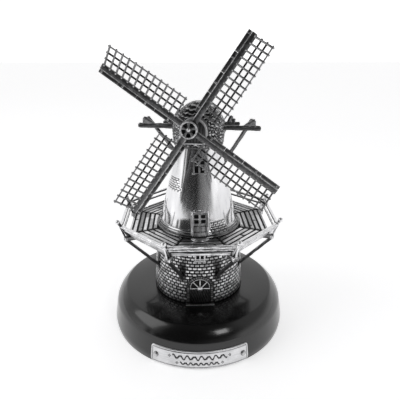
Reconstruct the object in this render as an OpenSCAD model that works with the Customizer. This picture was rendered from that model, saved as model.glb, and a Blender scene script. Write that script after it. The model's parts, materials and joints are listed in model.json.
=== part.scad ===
// Silver miniature of a round brick stage mill on a turned wooden plinth.
// Origin: middle of the plinth's underside. +Z is up and the mill's door faces -Y.

/* [Plinth] */
// Largest radius of the turned plinth
plinth_r = 50; // [44:0.5:62]
// Height of the plinth
plinth_h = 21.5; // [16:0.5:28]
// How far the bottom edge lies in from the belly
plinth_foot_in = 0.3; // [0:0.1:2]
// How far the top of the upright band lies in from the belly
plinth_shoulder_in = 1.8; // [0.5:0.1:4]
// Height of the upright band
plinth_band_h = 14.2; // [10:0.1:20]
// How far the edge of the flat top lies in from the belly
plinth_top_in = 7.7; // [5:0.1:14]
// How far the shoulder bulges past a straight chamfer
plinth_bulge = 0.7; // [0.2:0.1:2]

/* [Name plate] */
// Angle that the curved plate covers on the band
plate_angle = 60; // [30:1:90]
// Height of the plate
plate_h = 10; // [6:0.5:12]
// Thickness of the plate
plate_t = 0.6; // [0.3:0.1:1.5]
// Height of the plate's lower edge above the table
plate_z = 0.9; // [0.5:0.1:3]
// Turn of the plate away from the door's line
plate_turn = 1.3; // [-5:0.1:5]
// Diameter of the round pin heads
pin_d = 2.9; // [1.5:0.1:4]
// Angle between a pin and the plate's end
pin_inset_angle = 3.6; // [2:0.1:8]

/* [Brick base] */
// Height of the brick base
base_h = 37.1; // [28:0.1:50]
// Radius of the brick base at the plinth
base_foot_r = 25.6; // [22:0.1:31]
// Radius of the brick base under the stage
base_top_r = 23.1; // [20:0.1:28]
// Thickness of the brick wall
base_wall = 1.6; // [1:0.1:3]
// Width of the arched doorway
door_w = 11; // [8:0.1:14]
// Height of the doorway up to its crown
door_h = 15.4; // [12:0.1:20]
// Height of the transom over the door leaf
transom_z = 8.8; // [6:0.1:12]
// Width of the brick arch around the doorway
arch_w = 1.7; // [1:0.1:3]
// How far frames and arches stand out from a wall
relief = 0.4; // [0.2:0.05:0.8]
// How far a leaf or a pane lies behind the wall's face
setback = 0.5; // [0.2:0.05:0.9]
// Thickness of a door leaf or a pane
leaf_t = 0.5; // [0.3:0.05:0.6]
// Width of the base's small windows, frame included
base_window_w = 5.6; // [3:0.1:8]
// Height of the base's small windows, frame included
base_window_h = 5.6; // [3:0.1:7]
// Height of the small windows' middle above the plinth
base_window_z = 28.4; // [24:0.1:33]
// Width of window and door frames
frame_w = 0.8; // [0.5:0.1:1.5]
// Directions in which the base has a small window
base_window_turns = [0, 42, 180, 222];

/* [Stage] */
// Distance from the mill's axis to the corners of the octagonal deck
deck_r = 40.5; // [36:0.1:46]
// Thickness of the deck
deck_t = 1.4; // [1:0.1:2.5]
// How far the beams under the deck run out past its corners
beam_over = 2.5; // [1.5:0.1:4]
// Width of a beam under the deck
beam_w = 3; // [2:0.1:4]
// Depth of a beam under the deck
beam_d = 2.4; // [1.5:0.1:4]
// Thickness of a brace under the stage
stage_brace_t = 1.7; // [1:0.1:3]
// Height of a brace's foot above the plinth
brace_foot_z = 15.8; // [10:0.1:20]
// Distance of a post's foot outside the deck's corner
post_out = 0.7; // [0.3:0.1:1.2]
// How far a post's top leans out past its foot
post_lean = 4.1; // [0:0.1:6]
// Height of the posts over the deck, under their caps
post_h = 7; // [5:0.1:9]
// Thickness of a post
post_t = 1.7; // [1:0.1:2.5]
// Diameter of a post's cap
post_cap_d = 2.7; // [2:0.1:4]
// Height of the top rail's middle over the deck
top_rail_z = 5.2; // [4:0.1:6]
// Height of the middle rail over the deck
mid_rail_z = 2.9; // [2:0.1:4]
// Width of the top rail
top_rail_w = 2; // [1:0.1:3]
// Thickness of the top rail
top_rail_t = 1.3; // [0.8:0.1:2]
// Thickness of the middle rail
mid_rail_t = 1.1; // [0.6:0.1:2]
// Thickness of the struts outside the posts
strut_t = 1.1; // [0.6:0.1:2]

/* [Tower] */
// Height of the tower over the deck
tower_h = 46; // [36:0.5:56]
// Radius of the tower's straight taper, carried down to the deck
tower_foot_r = 21.6; // [18:0.1:22]
// Radius of the tower at its top
tower_top_r = 11.4; // [9:0.1:11.6]
// Extra radius of the flared foot
flare = 1.4; // [0:0.1:2]
// Height over which the foot flares
flare_h = 10; // [6:0.5:14]
// Thickness of the tower's wall
tower_wall = 1.2; // [0.8:0.1:2.5]
// Height of the ring at the tower's foot
foot_ring_h = 1.1; // [0.6:0.1:2]
// Width of the doors on the stage, frame included
stage_door_w = 9.2; // [6:0.1:12]
// Height of the doors on the stage, frame included
stage_door_h = 12.4; // [9:0.1:15]
// Width of the tower's windows, frame included
tower_window_w = 6.4; // [4:0.1:8]
// Height of the tower's windows, frame included
tower_window_h = 7.2; // [5:0.1:9]
// Height of the tower's windows over the deck
tower_window_z = 32.2; // [28:0.1:34]
// Radius of the crescent doorstep on the deck
doorstep_r = 5.2; // [3:0.1:7]
// Thickness of the doorsteps
doorstep_t = 0.7; // [0.4:0.1:1.5]

/* [Cap] */
// Turn of the cap and the sails away from the door's line
cap_turn = 10.2; // [-90:0.1:90]
// Largest radius of the cap
cap_r = 13.6; // [13:0.1:18]
// How far the cap's rounded back stands behind its front half
cap_back = 4.5; // [0.5:0.1:8]
// Height of the cap's widest place over the tower's top
cap_belly_z = 5.8; // [4:0.1:8]
// Height of the cap's crown over the tower's top
cap_top_z = 20; // [16:0.1:26]
// How far the cap's skirt hangs below the tower's top
skirt_drop = 1.5; // [1:0.1:2.5]
// Radius of the skirt's lower edge
skirt_r = 12.9; // [12.7:0.1:14]
// Thickness of the cap's shell
cap_wall = 0.8; // [0.6:0.05:1.2]
// Half width of the cap's arched nose
nose_w = 6.7; // [5:0.1:8]
// How far the front of the nose stands out from the belly
nose_over = 3.4; // [0.5:0.1:5]
// Height of the nose's crown over the tower's top
nose_top_z = 14.6; // [13.5:0.1:18]
// Height of the nose's underside over the tower's top
nose_foot_z = 1.8; // [1:0.1:4]
// Thickness of the front board
front_t = 1; // [0.6:0.1:2]
// Running clearance between the cap's ring and the tower
turn_gap = 0.25; // [0.15:0.05:0.4]
// Height of the ring on which the cap turns
curb_h = 1.2; // [0.8:0.1:2]

/* [Tail] */
// Half length of the long beam across the cap
long_beam_half = 32; // [24:0.5:38]
// Half length of the short beam behind it
short_beam_half = 21; // [17:0.5:24]
// Thickness of the long beam
long_beam_t = 2.7; // [2:0.1:3.4]
// Thickness of the short beam
short_beam_t = 2.3; // [1.6:0.1:3]
// Height of the beams' middle over the tower's top
beam_z = 7.2; // [6:0.1:9]
// Distance of the short beam behind the long one
short_beam_back = 10.5; // [8:0.1:11]
// Thickness of the braces and the tail pole
tail_t = 2; // [1.2:0.1:2.8]
// Distance of a brace's head from its beam's end
brace_inset = 4.6; // [3:0.1:7]
// How far the brace heads stand above the beams
brace_head = 2.6; // [1.5:0.1:4]
// How far the tail pole's foot lies in from the deck's corners
tail_inset = 6; // [4.5:0.1:10]
// Height of the tail pole's foot over the deck
tail_foot_z = 6.2; // [5:0.1:12]

/* [Sails] */
// Height of the windshaft over the tower's top, on the mill's axis
shaft_z = 8; // [7:0.1:9]
// Upward tilt of the windshaft
shaft_tilt = 6.8; // [0:0.1:12]
// Radius of the windshaft
shaft_r = 1.7; // [1.2:0.1:2.2]
// Running clearance around the windshaft
shaft_gap = 0.05; // [0.03:0.01:0.1]
// Distance along the shaft from the mill's axis to the sails' plane
sail_reach = 27.3; // [25:0.1:30]
// Length of a sail from the hub's middle to its tip
sail_len = 48; // [36:0.5:50]
// Turn of the sails at rest
sail_turn = 11.1; // [0:0.1:90]
// Width of a stock
stock_w = 2.75; // [2:0.05:4]
// Thickness of a stock
stock_t = 2; // [1.4:0.1:3]
// Width of a wind board
board_w = 1.75; // [1:0.05:3]
// Thickness of a wind board
board_t = 0.9; // [0.5:0.1:1.5]
// Length of stock between the hub's middle and a wind board
board_start = 8; // [6:0.1:12]
// Number of cross bars in a lattice
cross_bars = 13; // [6:1:18]
// Distance from the hub's middle to the first cross bar
lattice_start = 8.9; // [7:0.1:12]
// Distance of the last cross bar from a sail's tip
lattice_end = 1.2; // [0.8:0.1:3]
// Reach of the outer rail from the hub's line, at the hub
rail_reach_hub = 10.2; // [7:0.1:13]
// Reach of the outer rail from the hub's line, at the tip
rail_reach_tip = 11; // [7:0.1:14]
// Forward slant of the lattice at the hub
slant_hub = 10; // [0:1:25]
// Forward slant of the lattice at the tip
slant_tip = 31; // [0:1:35]
// Thickness of the lattice bars
lattice_t = 0.8; // [0.6:0.05:1.2]
// How far bars run past the ones they cross
bar_overrun = 0.9; // [0.4:0.1:1.5]

/* [Hub] */
// Outer radius of the wheel on the hub
wheel_r = 3.85; // [3:0.05:5]
// Thickness of the wheel's rim
rim_t = 0.9; // [0.6:0.05:1.4]
// Number of spokes in the wheel
spokes = 5; // [3:1:8]
// Radius of the wheel's boss
boss_r = 0.95; // [0.6:0.05:1.5]
// Radius of the collar between the wheel and the stocks
collar_r = 4.3; // [3.5:0.1:5.5]
// Thickness of the collar
collar_t = 1.3; // [0.8:0.1:2]
// Radius of the flange behind the stocks
flange_r = 3.6; // [2.8:0.1:4.5]

/* [Hidden] */
$fn = 96;

// Corners of the octagonal stage lie half a side away from the front
sides = 8;
side_turn = 360 / sides;
corner_turns = [for (i = [0:sides - 1]) (i + 0.5) * side_turn];

// Radii that follow others
plinth_foot_r = plinth_r - plinth_foot_in;
plinth_shoulder_r = plinth_r - plinth_shoulder_in;
plinth_top_r = plinth_r - plinth_top_in;
beam_r = deck_r + beam_over;
nose_reach = cap_r + nose_over;
tail_reach = deck_r - tail_inset;

// Levels
base_z = plinth_h;
deck_z = base_z + base_h;
floor_z = deck_z + deck_t;
tower_z = floor_z + foot_ring_h;
tower_top_z = floor_z + tower_h;
cap_z = tower_top_z + turn_gap;
tail_beam_z = tower_top_z + beam_z;

// Openings reach this far through a wall
through = 2 * plinth_r;

// Silver and wood
bright = [0.80, 0.80, 0.82];
aged = [0.52, 0.52, 0.54];
dark = [0.30, 0.30, 0.32];
lacquer = [0.04, 0.04, 0.045];
glass = [0.06, 0.06, 0.07];

// Radius of the brick base's face at a height
function base_r(z) = base_foot_r + (base_top_r - base_foot_r) * (z - base_z) / base_h;

// Radius of the tower's face at a height: a straight taper and a flared foot
function tower_r(z) =
    tower_foot_r + (tower_top_r - tower_foot_r) * (z - floor_z) / tower_h
    + flare * pow(max(0, floor_z + flare_h - z) / flare_h, 2.3);

// Radius of the plinth's face on its upright band
belly_z = 3.5;
function band_r(z) = z < belly_z
    ? plinth_foot_r + (plinth_r - plinth_foot_r) * z / belly_z
    : plinth_r + (plinth_shoulder_r - plinth_r) * (z - belly_z) / (plinth_band_h - belly_z);

// Heights at which a profile between two levels has a point
function levels(z0, z1, n) = [for (i = [0:n]) z0 + (z1 - z0) * i / n];

// Heights of the tower's profile: close together on the flare, one step above it
function tower_levels(z0, z1) = z1 <= floor_z + flare_h || z0 >= floor_z + flare_h
    ? levels(z0, z1, z0 >= floor_z + flare_h ? 1 : 6)
    : concat(levels(z0, floor_z + flare_h, 6), [z1]);

// A skin of a round wall between two distances out from its face
module tower_skin(low, high, z0, z1) {
    zs = tower_levels(z0, z1);
    rotate_extrude()
        polygon(concat(
            [for (z = zs) [tower_r(z) + high, z]],
            [for (i = [len(zs) - 1:-1:0]) [tower_r(zs[i]) + low, zs[i]]]
        ));
}

module base_skin(low, high, z0, z1) {
    rotate_extrude()
        polygon([
            [base_r(z0) + low, z0], [base_r(z0) + high, z0],
            [base_r(z1) + high, z1], [base_r(z1) + low, z1]
        ]);
}

// The solid inside the brick base's face
module base_core() {
    rotate_extrude()
        polygon([[0, base_z], [base_r(base_z), base_z], [base_r(deck_z), deck_z], [0, deck_z]]);
}

// An outline drawn on the plane that faces the door's way, pushed through the wall at a turn
module push(turn) {
    rotate([0, 0, turn]) rotate([90, 0, 0]) linear_extrude(through) children();
}

// A straight bar of width w and height h from p to q
module bar(p, q, w, h) {
    d = q - p;
    translate(p)
        rotate([0, -atan2(d.z, norm([d.x, d.y])), atan2(d.y, d.x)])
            translate([0, -w / 2, -h / 2])
                cube([norm(d), w, h]);
}

// ---------------------------------------------------------------- plinth

module plinth() {
    run = plinth_shoulder_r - plinth_top_r;
    rise = plinth_h - plinth_band_h;
    chord = norm([run, rise]);
    steps = 8;
    color(lacquer)
        rotate_extrude()
            polygon(concat(
                [[0, 0], [plinth_foot_r, 0], [plinth_r, belly_z]],
                [for (i = [0:steps])
                    let (t = i / steps, bow = 4 * plinth_bulge * t * (1 - t))
                    [
                        plinth_shoulder_r - run * t + bow * rise / chord,
                        plinth_band_h + rise * t + bow * run / chord
                    ]],
                [[0, plinth_h]]
            ));
}

module name_plate() {
    z1 = plate_z + plate_h;
    color(bright)
        rotate([0, 0, -90 - plate_turn - plate_angle / 2])
            rotate_extrude(angle = plate_angle)
                polygon(concat(
                    [for (z = [plate_z, belly_z, z1]) [band_r(z) + plate_t, z]],
                    [for (z = [z1, belly_z, plate_z]) [band_r(z), z]]
                ));
}

module plate_pins() {
    pin_z = plate_z + plate_h / 2;
    lean = atan2(plinth_r - plinth_shoulder_r, plinth_band_h - belly_z);
    color(bright)
        for (side = [-1, 1])
            rotate([0, 0, -plate_turn + side * (plate_angle / 2 - pin_inset_angle)])
                translate([0, -band_r(pin_z) - plate_t, pin_z])
                    rotate([90 - lean, 0, 0])
                        translate([0, 0, 0.02])
                            rotate_extrude()
                                intersection() {
                                    translate([0, -pin_d * 0.25]) circle(d = pin_d * 1.12);
                                    square([pin_d / 2, pin_d]);
                                }
}

// ---------------------------------------------------------------- brick base

// The doorway's outline, grown by a margin
module door_outline(grow) {
    springing = door_h - door_w / 2;
    translate([-door_w / 2 - grow, base_z]) square([door_w + 2 * grow, springing]);
    translate([0, base_z + springing]) circle(r = door_w / 2 + grow);
}

module window_outline(w, h, z, shrink) {
    translate([-w / 2 + shrink, z - h / 2 + shrink]) square([w - 2 * shrink, h - 2 * shrink]);
}

module base_window_outline(shrink) {
    window_outline(base_window_w, base_window_h, base_z + base_window_z, shrink);
}

module brick_base() {
    color(aged)
        difference() {
            base_skin(-base_wall, 0, base_z, deck_z);
            push(0) door_outline(0);
            for (turn = base_window_turns) push(turn) base_window_outline(frame_w);
        }
}

module doorway_arch() {
    color(aged)
        intersection() {
            base_skin(0, relief, base_z, deck_z - beam_d - 1);
            push(0)
                difference() {
                    door_outline(arch_w);
                    door_outline(0);
                }
        }
}

module door_leaf() {
    color(dark)
        intersection() {
            base_skin(-setback - leaf_t, -setback, base_z, base_z + transom_z);
            push(0) door_outline(0);
        }
}

module fanlight_bars() {
    springing = base_z + transom_z;
    rays = 4;
    color(aged)
        intersection() {
            base_skin(-setback, -setback / 2, base_z + transom_z, deck_z - 1);
            push(0)
                intersection() {
                    door_outline(0);
                    union() {
                        difference() {
                            door_outline(0);
                            door_outline(-frame_w);
                        }
                        translate([-door_w / 2, springing]) square([door_w, frame_w]);
                        translate([0, springing]) circle(r = door_w / 7);
                        for (i = [1:rays - 1])
                            translate([0, springing])
                                rotate(i * 180 / rays)
                                    translate([0, -frame_w / 2]) square([door_w, frame_w]);
                    }
                }
        }
}

module fanlight_pane() {
    color(glass)
        intersection() {
            base_skin(-setback - leaf_t, -setback, base_z + transom_z, deck_z - 1);
            push(0) door_outline(0);
        }
}

module door_step() {
    reach = base_foot_r + relief + 1.1;
    half = door_w / 2 + arch_w + 0.6;
    color(aged)
        difference() {
            translate([-half, -reach, base_z]) cube([2 * half, reach, doorstep_t]);
            translate([0, 0, base_z - 1]) cylinder(r = base_foot_r + relief + 0.02, h = doorstep_t + 2);
        }
}

module base_window_frames() {
    color(bright)
        for (turn = base_window_turns)
            intersection() {
                base_skin(0, relief, base_z, deck_z - 0.01);
                push(turn)
                    difference() {
                        base_window_outline(0);
                        base_window_outline(frame_w);
                    }
            }
}

module base_window_panes() {
    color(glass)
        for (turn = base_window_turns)
            intersection() {
                base_skin(-setback - leaf_t, -setback, base_z, deck_z);
                push(turn) base_window_outline(frame_w);
            }
}

// ---------------------------------------------------------------- stage

// One beam under the deck, lying along +X from just inside the base's wall
module stage_beam() {
    start = base_top_r - base_wall / 2;
    translate([start, -beam_w / 2, deck_z - beam_d]) cube([beam_r - start, beam_w, beam_d]);
}

module stage_beams() {
    color(aged)
        difference() {
            for (turn = corner_turns) rotate([0, 0, turn - 90]) stage_beam();
            base_core();
        }
}

module stage_braces() {
    head = [beam_r - beam_d, 0, deck_z - beam_d + 0.3];
    foot = [base_r(base_z + brace_foot_z) - 1, 0, base_z + brace_foot_z - 1];
    color(aged)
        for (turn = corner_turns)
            rotate([0, 0, turn - 90])
                difference() {
                    bar(foot, head, stage_brace_t, stage_brace_t);
                    stage_beam();
                    base_core();
                }
}

// An octagon whose corners lie at radius r, with its first side facing the front
module octagon(r) {
    rotate(side_turn / 2) circle(r = r, $fn = sides);
}

module stage_deck() {
    color(aged)
        difference() {
            deck_plate();
            translate([0, 0, deck_z - 1])
                cylinder(
                    r = min(base_top_r - base_wall, tower_r(floor_z) - tower_wall),
                    h = deck_t + 2
                );
        }
}

// A post stands on a beam's end, against the deck's corner, and leans outwards
function post_r(h) = deck_r + post_out + post_lean * h / post_h;

// One post in the plane of +X, its foot still run through the beam
module rail_post() {
    low = -deck_t - beam_d / 2;
    bar([post_r(low), 0, floor_z + low], [post_r(post_h), 0, floor_z + post_h], post_t, post_t);
}

module deck_plate() {
    translate([0, 0, deck_z]) linear_extrude(deck_t) octagon(deck_r);
}

module rail_posts() {
    color(bright)
        difference() {
            for (turn = corner_turns) rotate([0, 0, turn - 90]) rail_post();
            for (turn = corner_turns) rotate([0, 0, turn - 90]) stage_beam();
            deck_plate();
        }
}

module post_caps() {
    lean = atan2(post_lean, post_h);
    color(bright)
        for (turn = corner_turns)
            rotate([0, 0, turn - 90])
                translate([post_r(post_h), 0, floor_z + post_h])
                    rotate([0, lean, 0])
                        rotate_extrude()
                            intersection() {
                                translate([0, post_cap_d * 0.35]) circle(d = post_cap_d);
                                square([post_cap_d, post_cap_d]);
                            }
}

module post_struts() {
    color(bright)
        difference() {
            for (turn = corner_turns)
                rotate([0, 0, turn - 90])
                    bar(
                        [beam_r - strut_t, 0, deck_z - 0.3],
                        [post_r(top_rail_z), 0, floor_z + top_rail_z],
                        strut_t, strut_t
                    );
            for (turn = corner_turns)
                rotate([0, 0, turn - 90]) {
                    stage_beam();
                    rail_post();
                }
            deck_plate();
            all_rails();
        }
}

// Rails between the posts, at height h over the deck
module rails(h, w, t) {
    r = post_r(h);
    for (turn = corner_turns)
        rotate([0, 0, turn - side_turn / 2 - 90])
            translate([r * cos(side_turn / 2) - w / 2, -r * sin(side_turn / 2), floor_z + h - t / 2])
                cube([w, 2 * r * sin(side_turn / 2), t]);
}

module all_rails() {
    rails(top_rail_z, top_rail_w, top_rail_t);
    rails(mid_rail_z, mid_rail_t, mid_rail_t);
}

// Rails without the slots in which the posts stand, which keeps neighbours apart
module slotted_rails(h, w, t) {
    difference() {
        rails(h, w, t);
        for (turn = corner_turns)
            rotate([0, 0, turn - 90]) {
                rail_post();
                translate([0, -0.05, floor_z]) cube([2 * deck_r, 0.1, 2 * post_h]);
            }
    }
}

module mid_rails() {
    color(bright) slotted_rails(mid_rail_z, mid_rail_t, mid_rail_t);
}

module top_rails() {
    color(bright) slotted_rails(top_rail_z, top_rail_w, top_rail_t);
}

// ---------------------------------------------------------------- tower

module foot_ring() {
    r = tower_r(floor_z);
    color(bright)
        translate([0, 0, floor_z])
            difference() {
                cylinder(r = r + 0.2, h = foot_ring_h);
                translate([0, 0, -1]) cylinder(r = r - tower_wall - 0.6, h = foot_ring_h + 2);
            }
}

module tower_body() {
    color(bright)
        difference() {
            tower_skin(-tower_wall, 0, tower_z, tower_top_z);
            for (turn = [0, 180]) {
                push(turn) stage_door_outline(frame_w);
                push(turn) tower_window_outline(frame_w);
            }
        }
}

module stage_door_outline(shrink) {
    window_outline(stage_door_w, stage_door_h, tower_z + stage_door_h / 2, shrink);
}

module tower_window_outline(shrink) {
    window_outline(
        tower_window_w, tower_window_h, floor_z + tower_window_z + tower_window_h / 2, shrink
    );
}

module crescent_steps() {
    r = tower_r(floor_z) + 0.2;
    color(aged)
        for (turn = [0, 180])
            rotate([0, 0, turn])
                difference() {
                    intersection() {
                        translate([0, -r + 2, floor_z]) cylinder(r = doorstep_r, h = doorstep_t);
                        translate([-through / 2, -through, floor_z])
                            cube([through, through, doorstep_t]);
                    }
                    translate([0, 0, floor_z - 1]) cylinder(r = r, h = doorstep_t + 2);
                }
}

module stage_door_frames() {
    color(bright)
        for (turn = [0, 180])
            intersection() {
                tower_skin(0, relief, tower_z, tower_z + stage_door_h + 1);
                push(turn)
                    difference() {
                        stage_door_outline(0);
                        stage_door_outline(frame_w);
                    }
            }
}

module stage_door_leaves() {
    color(dark)
        for (turn = [0, 180])
            intersection() {
                tower_skin(-setback - leaf_t, -setback, tower_z, tower_z + stage_door_h + 1);
                push(turn) stage_door_outline(frame_w);
            }
}

module tower_window_frames() {
    color(dark)
        for (turn = [0, 180])
            intersection() {
                tower_skin(0, relief, floor_z + tower_window_z - 1, tower_top_z);
                push(turn)
                    difference() {
                        tower_window_outline(0);
                        tower_window_outline(frame_w);
                    }
            }
}

module tower_window_panes() {
    color(glass)
        for (turn = [0, 180])
            intersection() {
                tower_skin(-setback - leaf_t, -setback, floor_z + tower_window_z, tower_top_z);
                push(turn) tower_window_outline(frame_w);
            }
}

// ---------------------------------------------------------------- cap

// The cap's parts are drawn with the windshaft towards -Y and turned together
module on_cap() {
    rotate([0, 0, -cap_turn]) children();
}

// The windshaft's own axes: -Y runs out along the shaft from the mill's axis
module on_shaft() {
    on_cap() translate([0, 0, tower_top_z + shaft_z]) rotate([-shaft_tilt, 0, 0]) children();
}

// Outline of a lathe-turned dome of the cap, down to a level
module dome_outline(wall, low) {
    belly = tower_top_z + cap_belly_z;
    crown = cap_top_z - cap_belly_z - wall;
    r = cap_r - wall;
    steps = 10;
    polygon(concat(
        [[0, low], [skirt_r - wall, low]],
        [for (i = [0:steps])
            let (a = 90 * i / steps)
            [r * cos(a), belly + crown * sin(a)]]
    ));
}

// The cap is longer than it is wide: one dome stands behind the other
skirt_z = tower_top_z - skirt_drop;

module cap_domes() {
    for (back = [0, cap_back])
        translate([0, back, 0])
            rotate_extrude()
                dome_outline(0, skirt_z);
}

// Outline of the arched nose, seen from the front
module nose_outline(wall) {
    w = nose_w - wall;
    low = tower_top_z + nose_foot_z + wall;
    translate([-w, low]) square([2 * w, tower_top_z + nose_top_z - nose_w - low]);
    translate([0, tower_top_z + nose_top_z - nose_w]) circle(r = w);
}

// The room inside: open below over the tower, and floored behind it
module cap_hollow() {
    rotate_extrude() dome_outline(cap_wall, skirt_z);
    translate([0, 0, skirt_z - 1]) cylinder(r = skirt_r - cap_wall, h = 2);
    translate([0, cap_back, 0]) rotate_extrude() dome_outline(cap_wall, skirt_z + cap_wall);
    rotate([90, 0, 0]) linear_extrude(nose_reach + 1) nose_outline(cap_wall);
}

module long_beam_bar() {
    bar([-long_beam_half, 0, tail_beam_z], [long_beam_half, 0, tail_beam_z], long_beam_t, long_beam_t);
}

module short_beam_bar() {
    bar(
        [-short_beam_half, short_beam_back, tail_beam_z],
        [short_beam_half, short_beam_back, tail_beam_z],
        short_beam_t, short_beam_t
    );
}

module cap_body() {
    color(aged)
        on_cap()
            difference() {
                union() {
                    cap_domes();
                    rotate([90, 0, 0]) linear_extrude(nose_reach) nose_outline(0);
                }
                cap_hollow();
                long_beam_bar();
                short_beam_bar();
            }
}

module cap_front() {
    color(dark)
        on_cap()
            difference() {
                translate([0, -nose_reach + front_t, 0])
                    rotate([90, 0, 0])
                        linear_extrude(front_t) nose_outline(cap_wall);
                translate([0, 0, tower_top_z + shaft_z])
                    rotate([90 - shaft_tilt, 0, 0])
                        cylinder(r = shaft_r + shaft_gap, h = through);
            }
}

// The cap's ring turns just above the tower's top edge
module cap_curb() {
    color(aged)
        on_cap()
            translate([0, 0, cap_z])
                difference() {
                    cylinder(r = skirt_r - cap_wall, h = curb_h);
                    translate([0, 0, -1]) cylinder(r = tower_top_r - tower_wall, h = curb_h + 2);
                }
}

module shaft_bearing() {
    back = 4.5;
    front = (nose_reach - front_t) * 0.9;
    color(aged)
        on_shaft()
            translate([0, -back, 0])
                rotate([90, 0, 0])
                    difference() {
                        cylinder(r = shaft_r + 1.6, h = front - back);
                        translate([0, 0, -1]) cylinder(r = shaft_r + shaft_gap, h = front);
                    }
}

module long_beam() {
    color(dark) on_cap() long_beam_bar();
}

module short_beam() {
    color(dark) on_cap() short_beam_bar();
}

// The pole slopes from the cap's back down to just above the stage
tail_foot = [0, tail_reach, floor_z + tail_foot_z];
tail_head = [0, cap_back + cap_r - 3, tower_top_z + 3];

module tail_pole_bar() {
    bar(tail_head, tail_foot, tail_t, tail_t);
}

module tail_pole() {
    color(dark)
        on_cap()
            difference() {
                tail_pole_bar();
                cap_domes();
            }
}

// A pair of braces from behind a beam's ends to the tail pole at a share of its length
module braces(half, back, t, share) {
    meet = tail_head + (tail_foot - tail_head) * share;
    for (side = [-1, 1])
        difference() {
            bar(
                [side * (half - brace_inset), back + t / 2 + tail_t * 0.62, tail_beam_z + t / 2 + brace_head],
                meet,
                tail_t, tail_t
            );
            tail_pole_bar();
            long_beam_bar();
            short_beam_bar();
            translate([-tail_t / 4, 0, 0]) cube([tail_t / 2, through, 2 * tail_beam_z]);
        }
}

module long_braces() {
    color(dark) on_cap() braces(long_beam_half, 0, long_beam_t, 0.97);
}

module short_braces() {
    color(dark) on_cap() braces(short_beam_half, short_beam_back, short_beam_t, 0.55);
}

// ---------------------------------------------------------------- sails

// Distances along the shaft
stock_back = sail_reach - stock_t / 2;
stock_front = sail_reach + stock_t / 2;

// A ring or disc around the shaft, from one distance along it to another
module shaft_disc(r, from, to) {
    translate([0, -from, 0]) rotate([90, 0, 0]) cylinder(r = r, h = to - from);
}

module windshaft() {
    color(dark)
        on_shaft() {
            shaft_disc(shaft_r, 4, stock_back);
            shaft_disc(flange_r, stock_back - 1.6, stock_back);
        }
}

module hub_collar() {
    color(dark)
        on_shaft() {
            shaft_disc(collar_r, stock_front, stock_front + collar_t);
            shaft_disc(boss_r + 0.8, stock_front + collar_t, stock_front + collar_t + 0.9);
        }
}

module hub_wheel() {
    near = stock_front + collar_t + 0.9;
    color(bright)
        on_shaft() {
            translate([0, -near - rim_t / 2, 0])
                rotate([90, 0, 0])
                    rotate_extrude()
                        translate([wheel_r - rim_t / 2, 0]) circle(d = rim_t);
            shaft_disc(boss_r, near, near + rim_t * 1.3);
            for (i = [0:spokes - 1])
                rotate([0, i * 360 / spokes, 0])
                    translate([-rim_t / 2, -near - rim_t * 0.8, 0])
                        cube([rim_t, rim_t * 0.6, wheel_r - rim_t / 2]);
        }
}

// A sail lies along +X with its lattice on the -Z side; sail i is i quarter turns on
module on_sail(i) {
    on_shaft() rotate([0, -(45 + sail_turn + 90 * i), 0]) translate([0, -sail_reach, 0]) children();
}

// A bar through two opposite sails, halved at its middle where the other one crosses it
module stock(i, notch_front) {
    color(dark)
        on_sail(i)
            difference() {
                translate([-sail_len, -stock_t / 2, -stock_w / 2])
                    cube([2 * sail_len, stock_t, stock_w]);
                translate([-stock_w / 2, notch_front ? -stock_t : 0, -stock_w])
                    cube([stock_w, stock_t, 2 * stock_w]);
            }
}

module stock_a() {
    stock(1, false);
}

module stock_b() {
    stock(0, true);
}

module wind_boards() {
    color(dark)
        for (i = [0:3])
            on_sail(i)
                translate([board_start, -board_t / 2, stock_w / 2])
                    cube([sail_len - board_start, board_t, board_w]);
}

// A point of the lattice: distance out along the sail, and reach from the hub's line
lattice_len = sail_len - lattice_start - lattice_end;
function reach_at(x) =
    rail_reach_hub + (rail_reach_tip - rail_reach_hub) * (x - lattice_start) / lattice_len;
function slant_at(x) = slant_hub + (slant_tip - slant_hub) * (x - lattice_start) / lattice_len;
function lattice_point(x, w, lift) =
    [x, -w * sin(slant_at(x)) - lift, -w * cos(slant_at(x))];

module sail_lattice(i) {
    x0 = lattice_start;
    x1 = lattice_start + lattice_len;
    inner = stock_w / 2;
    step = lattice_len / (cross_bars - 1);
    color(aged)
        on_sail(i)
            difference() {
                union() {
                    for (k = [0:cross_bars - 1])
                        let (x = x0 + k * step)
                        bar(
                            lattice_point(x, inner - 0.6, lattice_t / 4),
                            lattice_point(x, reach_at(x) + bar_overrun, lattice_t / 4),
                            lattice_t, lattice_t
                        );
                    for (share = [1 / 3, 2 / 3, 1])
                        bar(
                            lattice_point(x0 - bar_overrun, inner + (reach_at(x0) - inner) * share, -lattice_t / 4),
                            lattice_point(x1 + bar_overrun, inner + (reach_at(x1) - inner) * share, -lattice_t / 4),
                            lattice_t, lattice_t
                        );
                }
                translate([0, -stock_t, -inner]) cube([sail_len + 2, 2 * stock_t, 2 * inner]);
            }
}

plinth();
name_plate();
plate_pins();
brick_base();
doorway_arch();
door_leaf();
fanlight_bars();
fanlight_pane();
door_step();
base_window_frames();
base_window_panes();
stage_beams();
stage_braces();
stage_deck();
rail_posts();
post_caps();
post_struts();
mid_rails();
top_rails();
foot_ring();
tower_body();
crescent_steps();
stage_door_frames();
stage_door_leaves();
tower_window_frames();
tower_window_panes();
cap_curb();
cap_body();
cap_front();
shaft_bearing();
long_beam();
short_beam();
long_braces();
short_braces();
tail_pole();
windshaft();
hub_collar();
hub_wheel();
stock_a();
stock_b();
wind_boards();
sail_lattice(0);  // sail_lattice_1
sail_lattice(1);  // sail_lattice_2
sail_lattice(2);  // sail_lattice_3
sail_lattice(3);  // sail_lattice_4
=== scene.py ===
"""Looks of the silver stage mill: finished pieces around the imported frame, in metres."""

import json
import math

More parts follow.
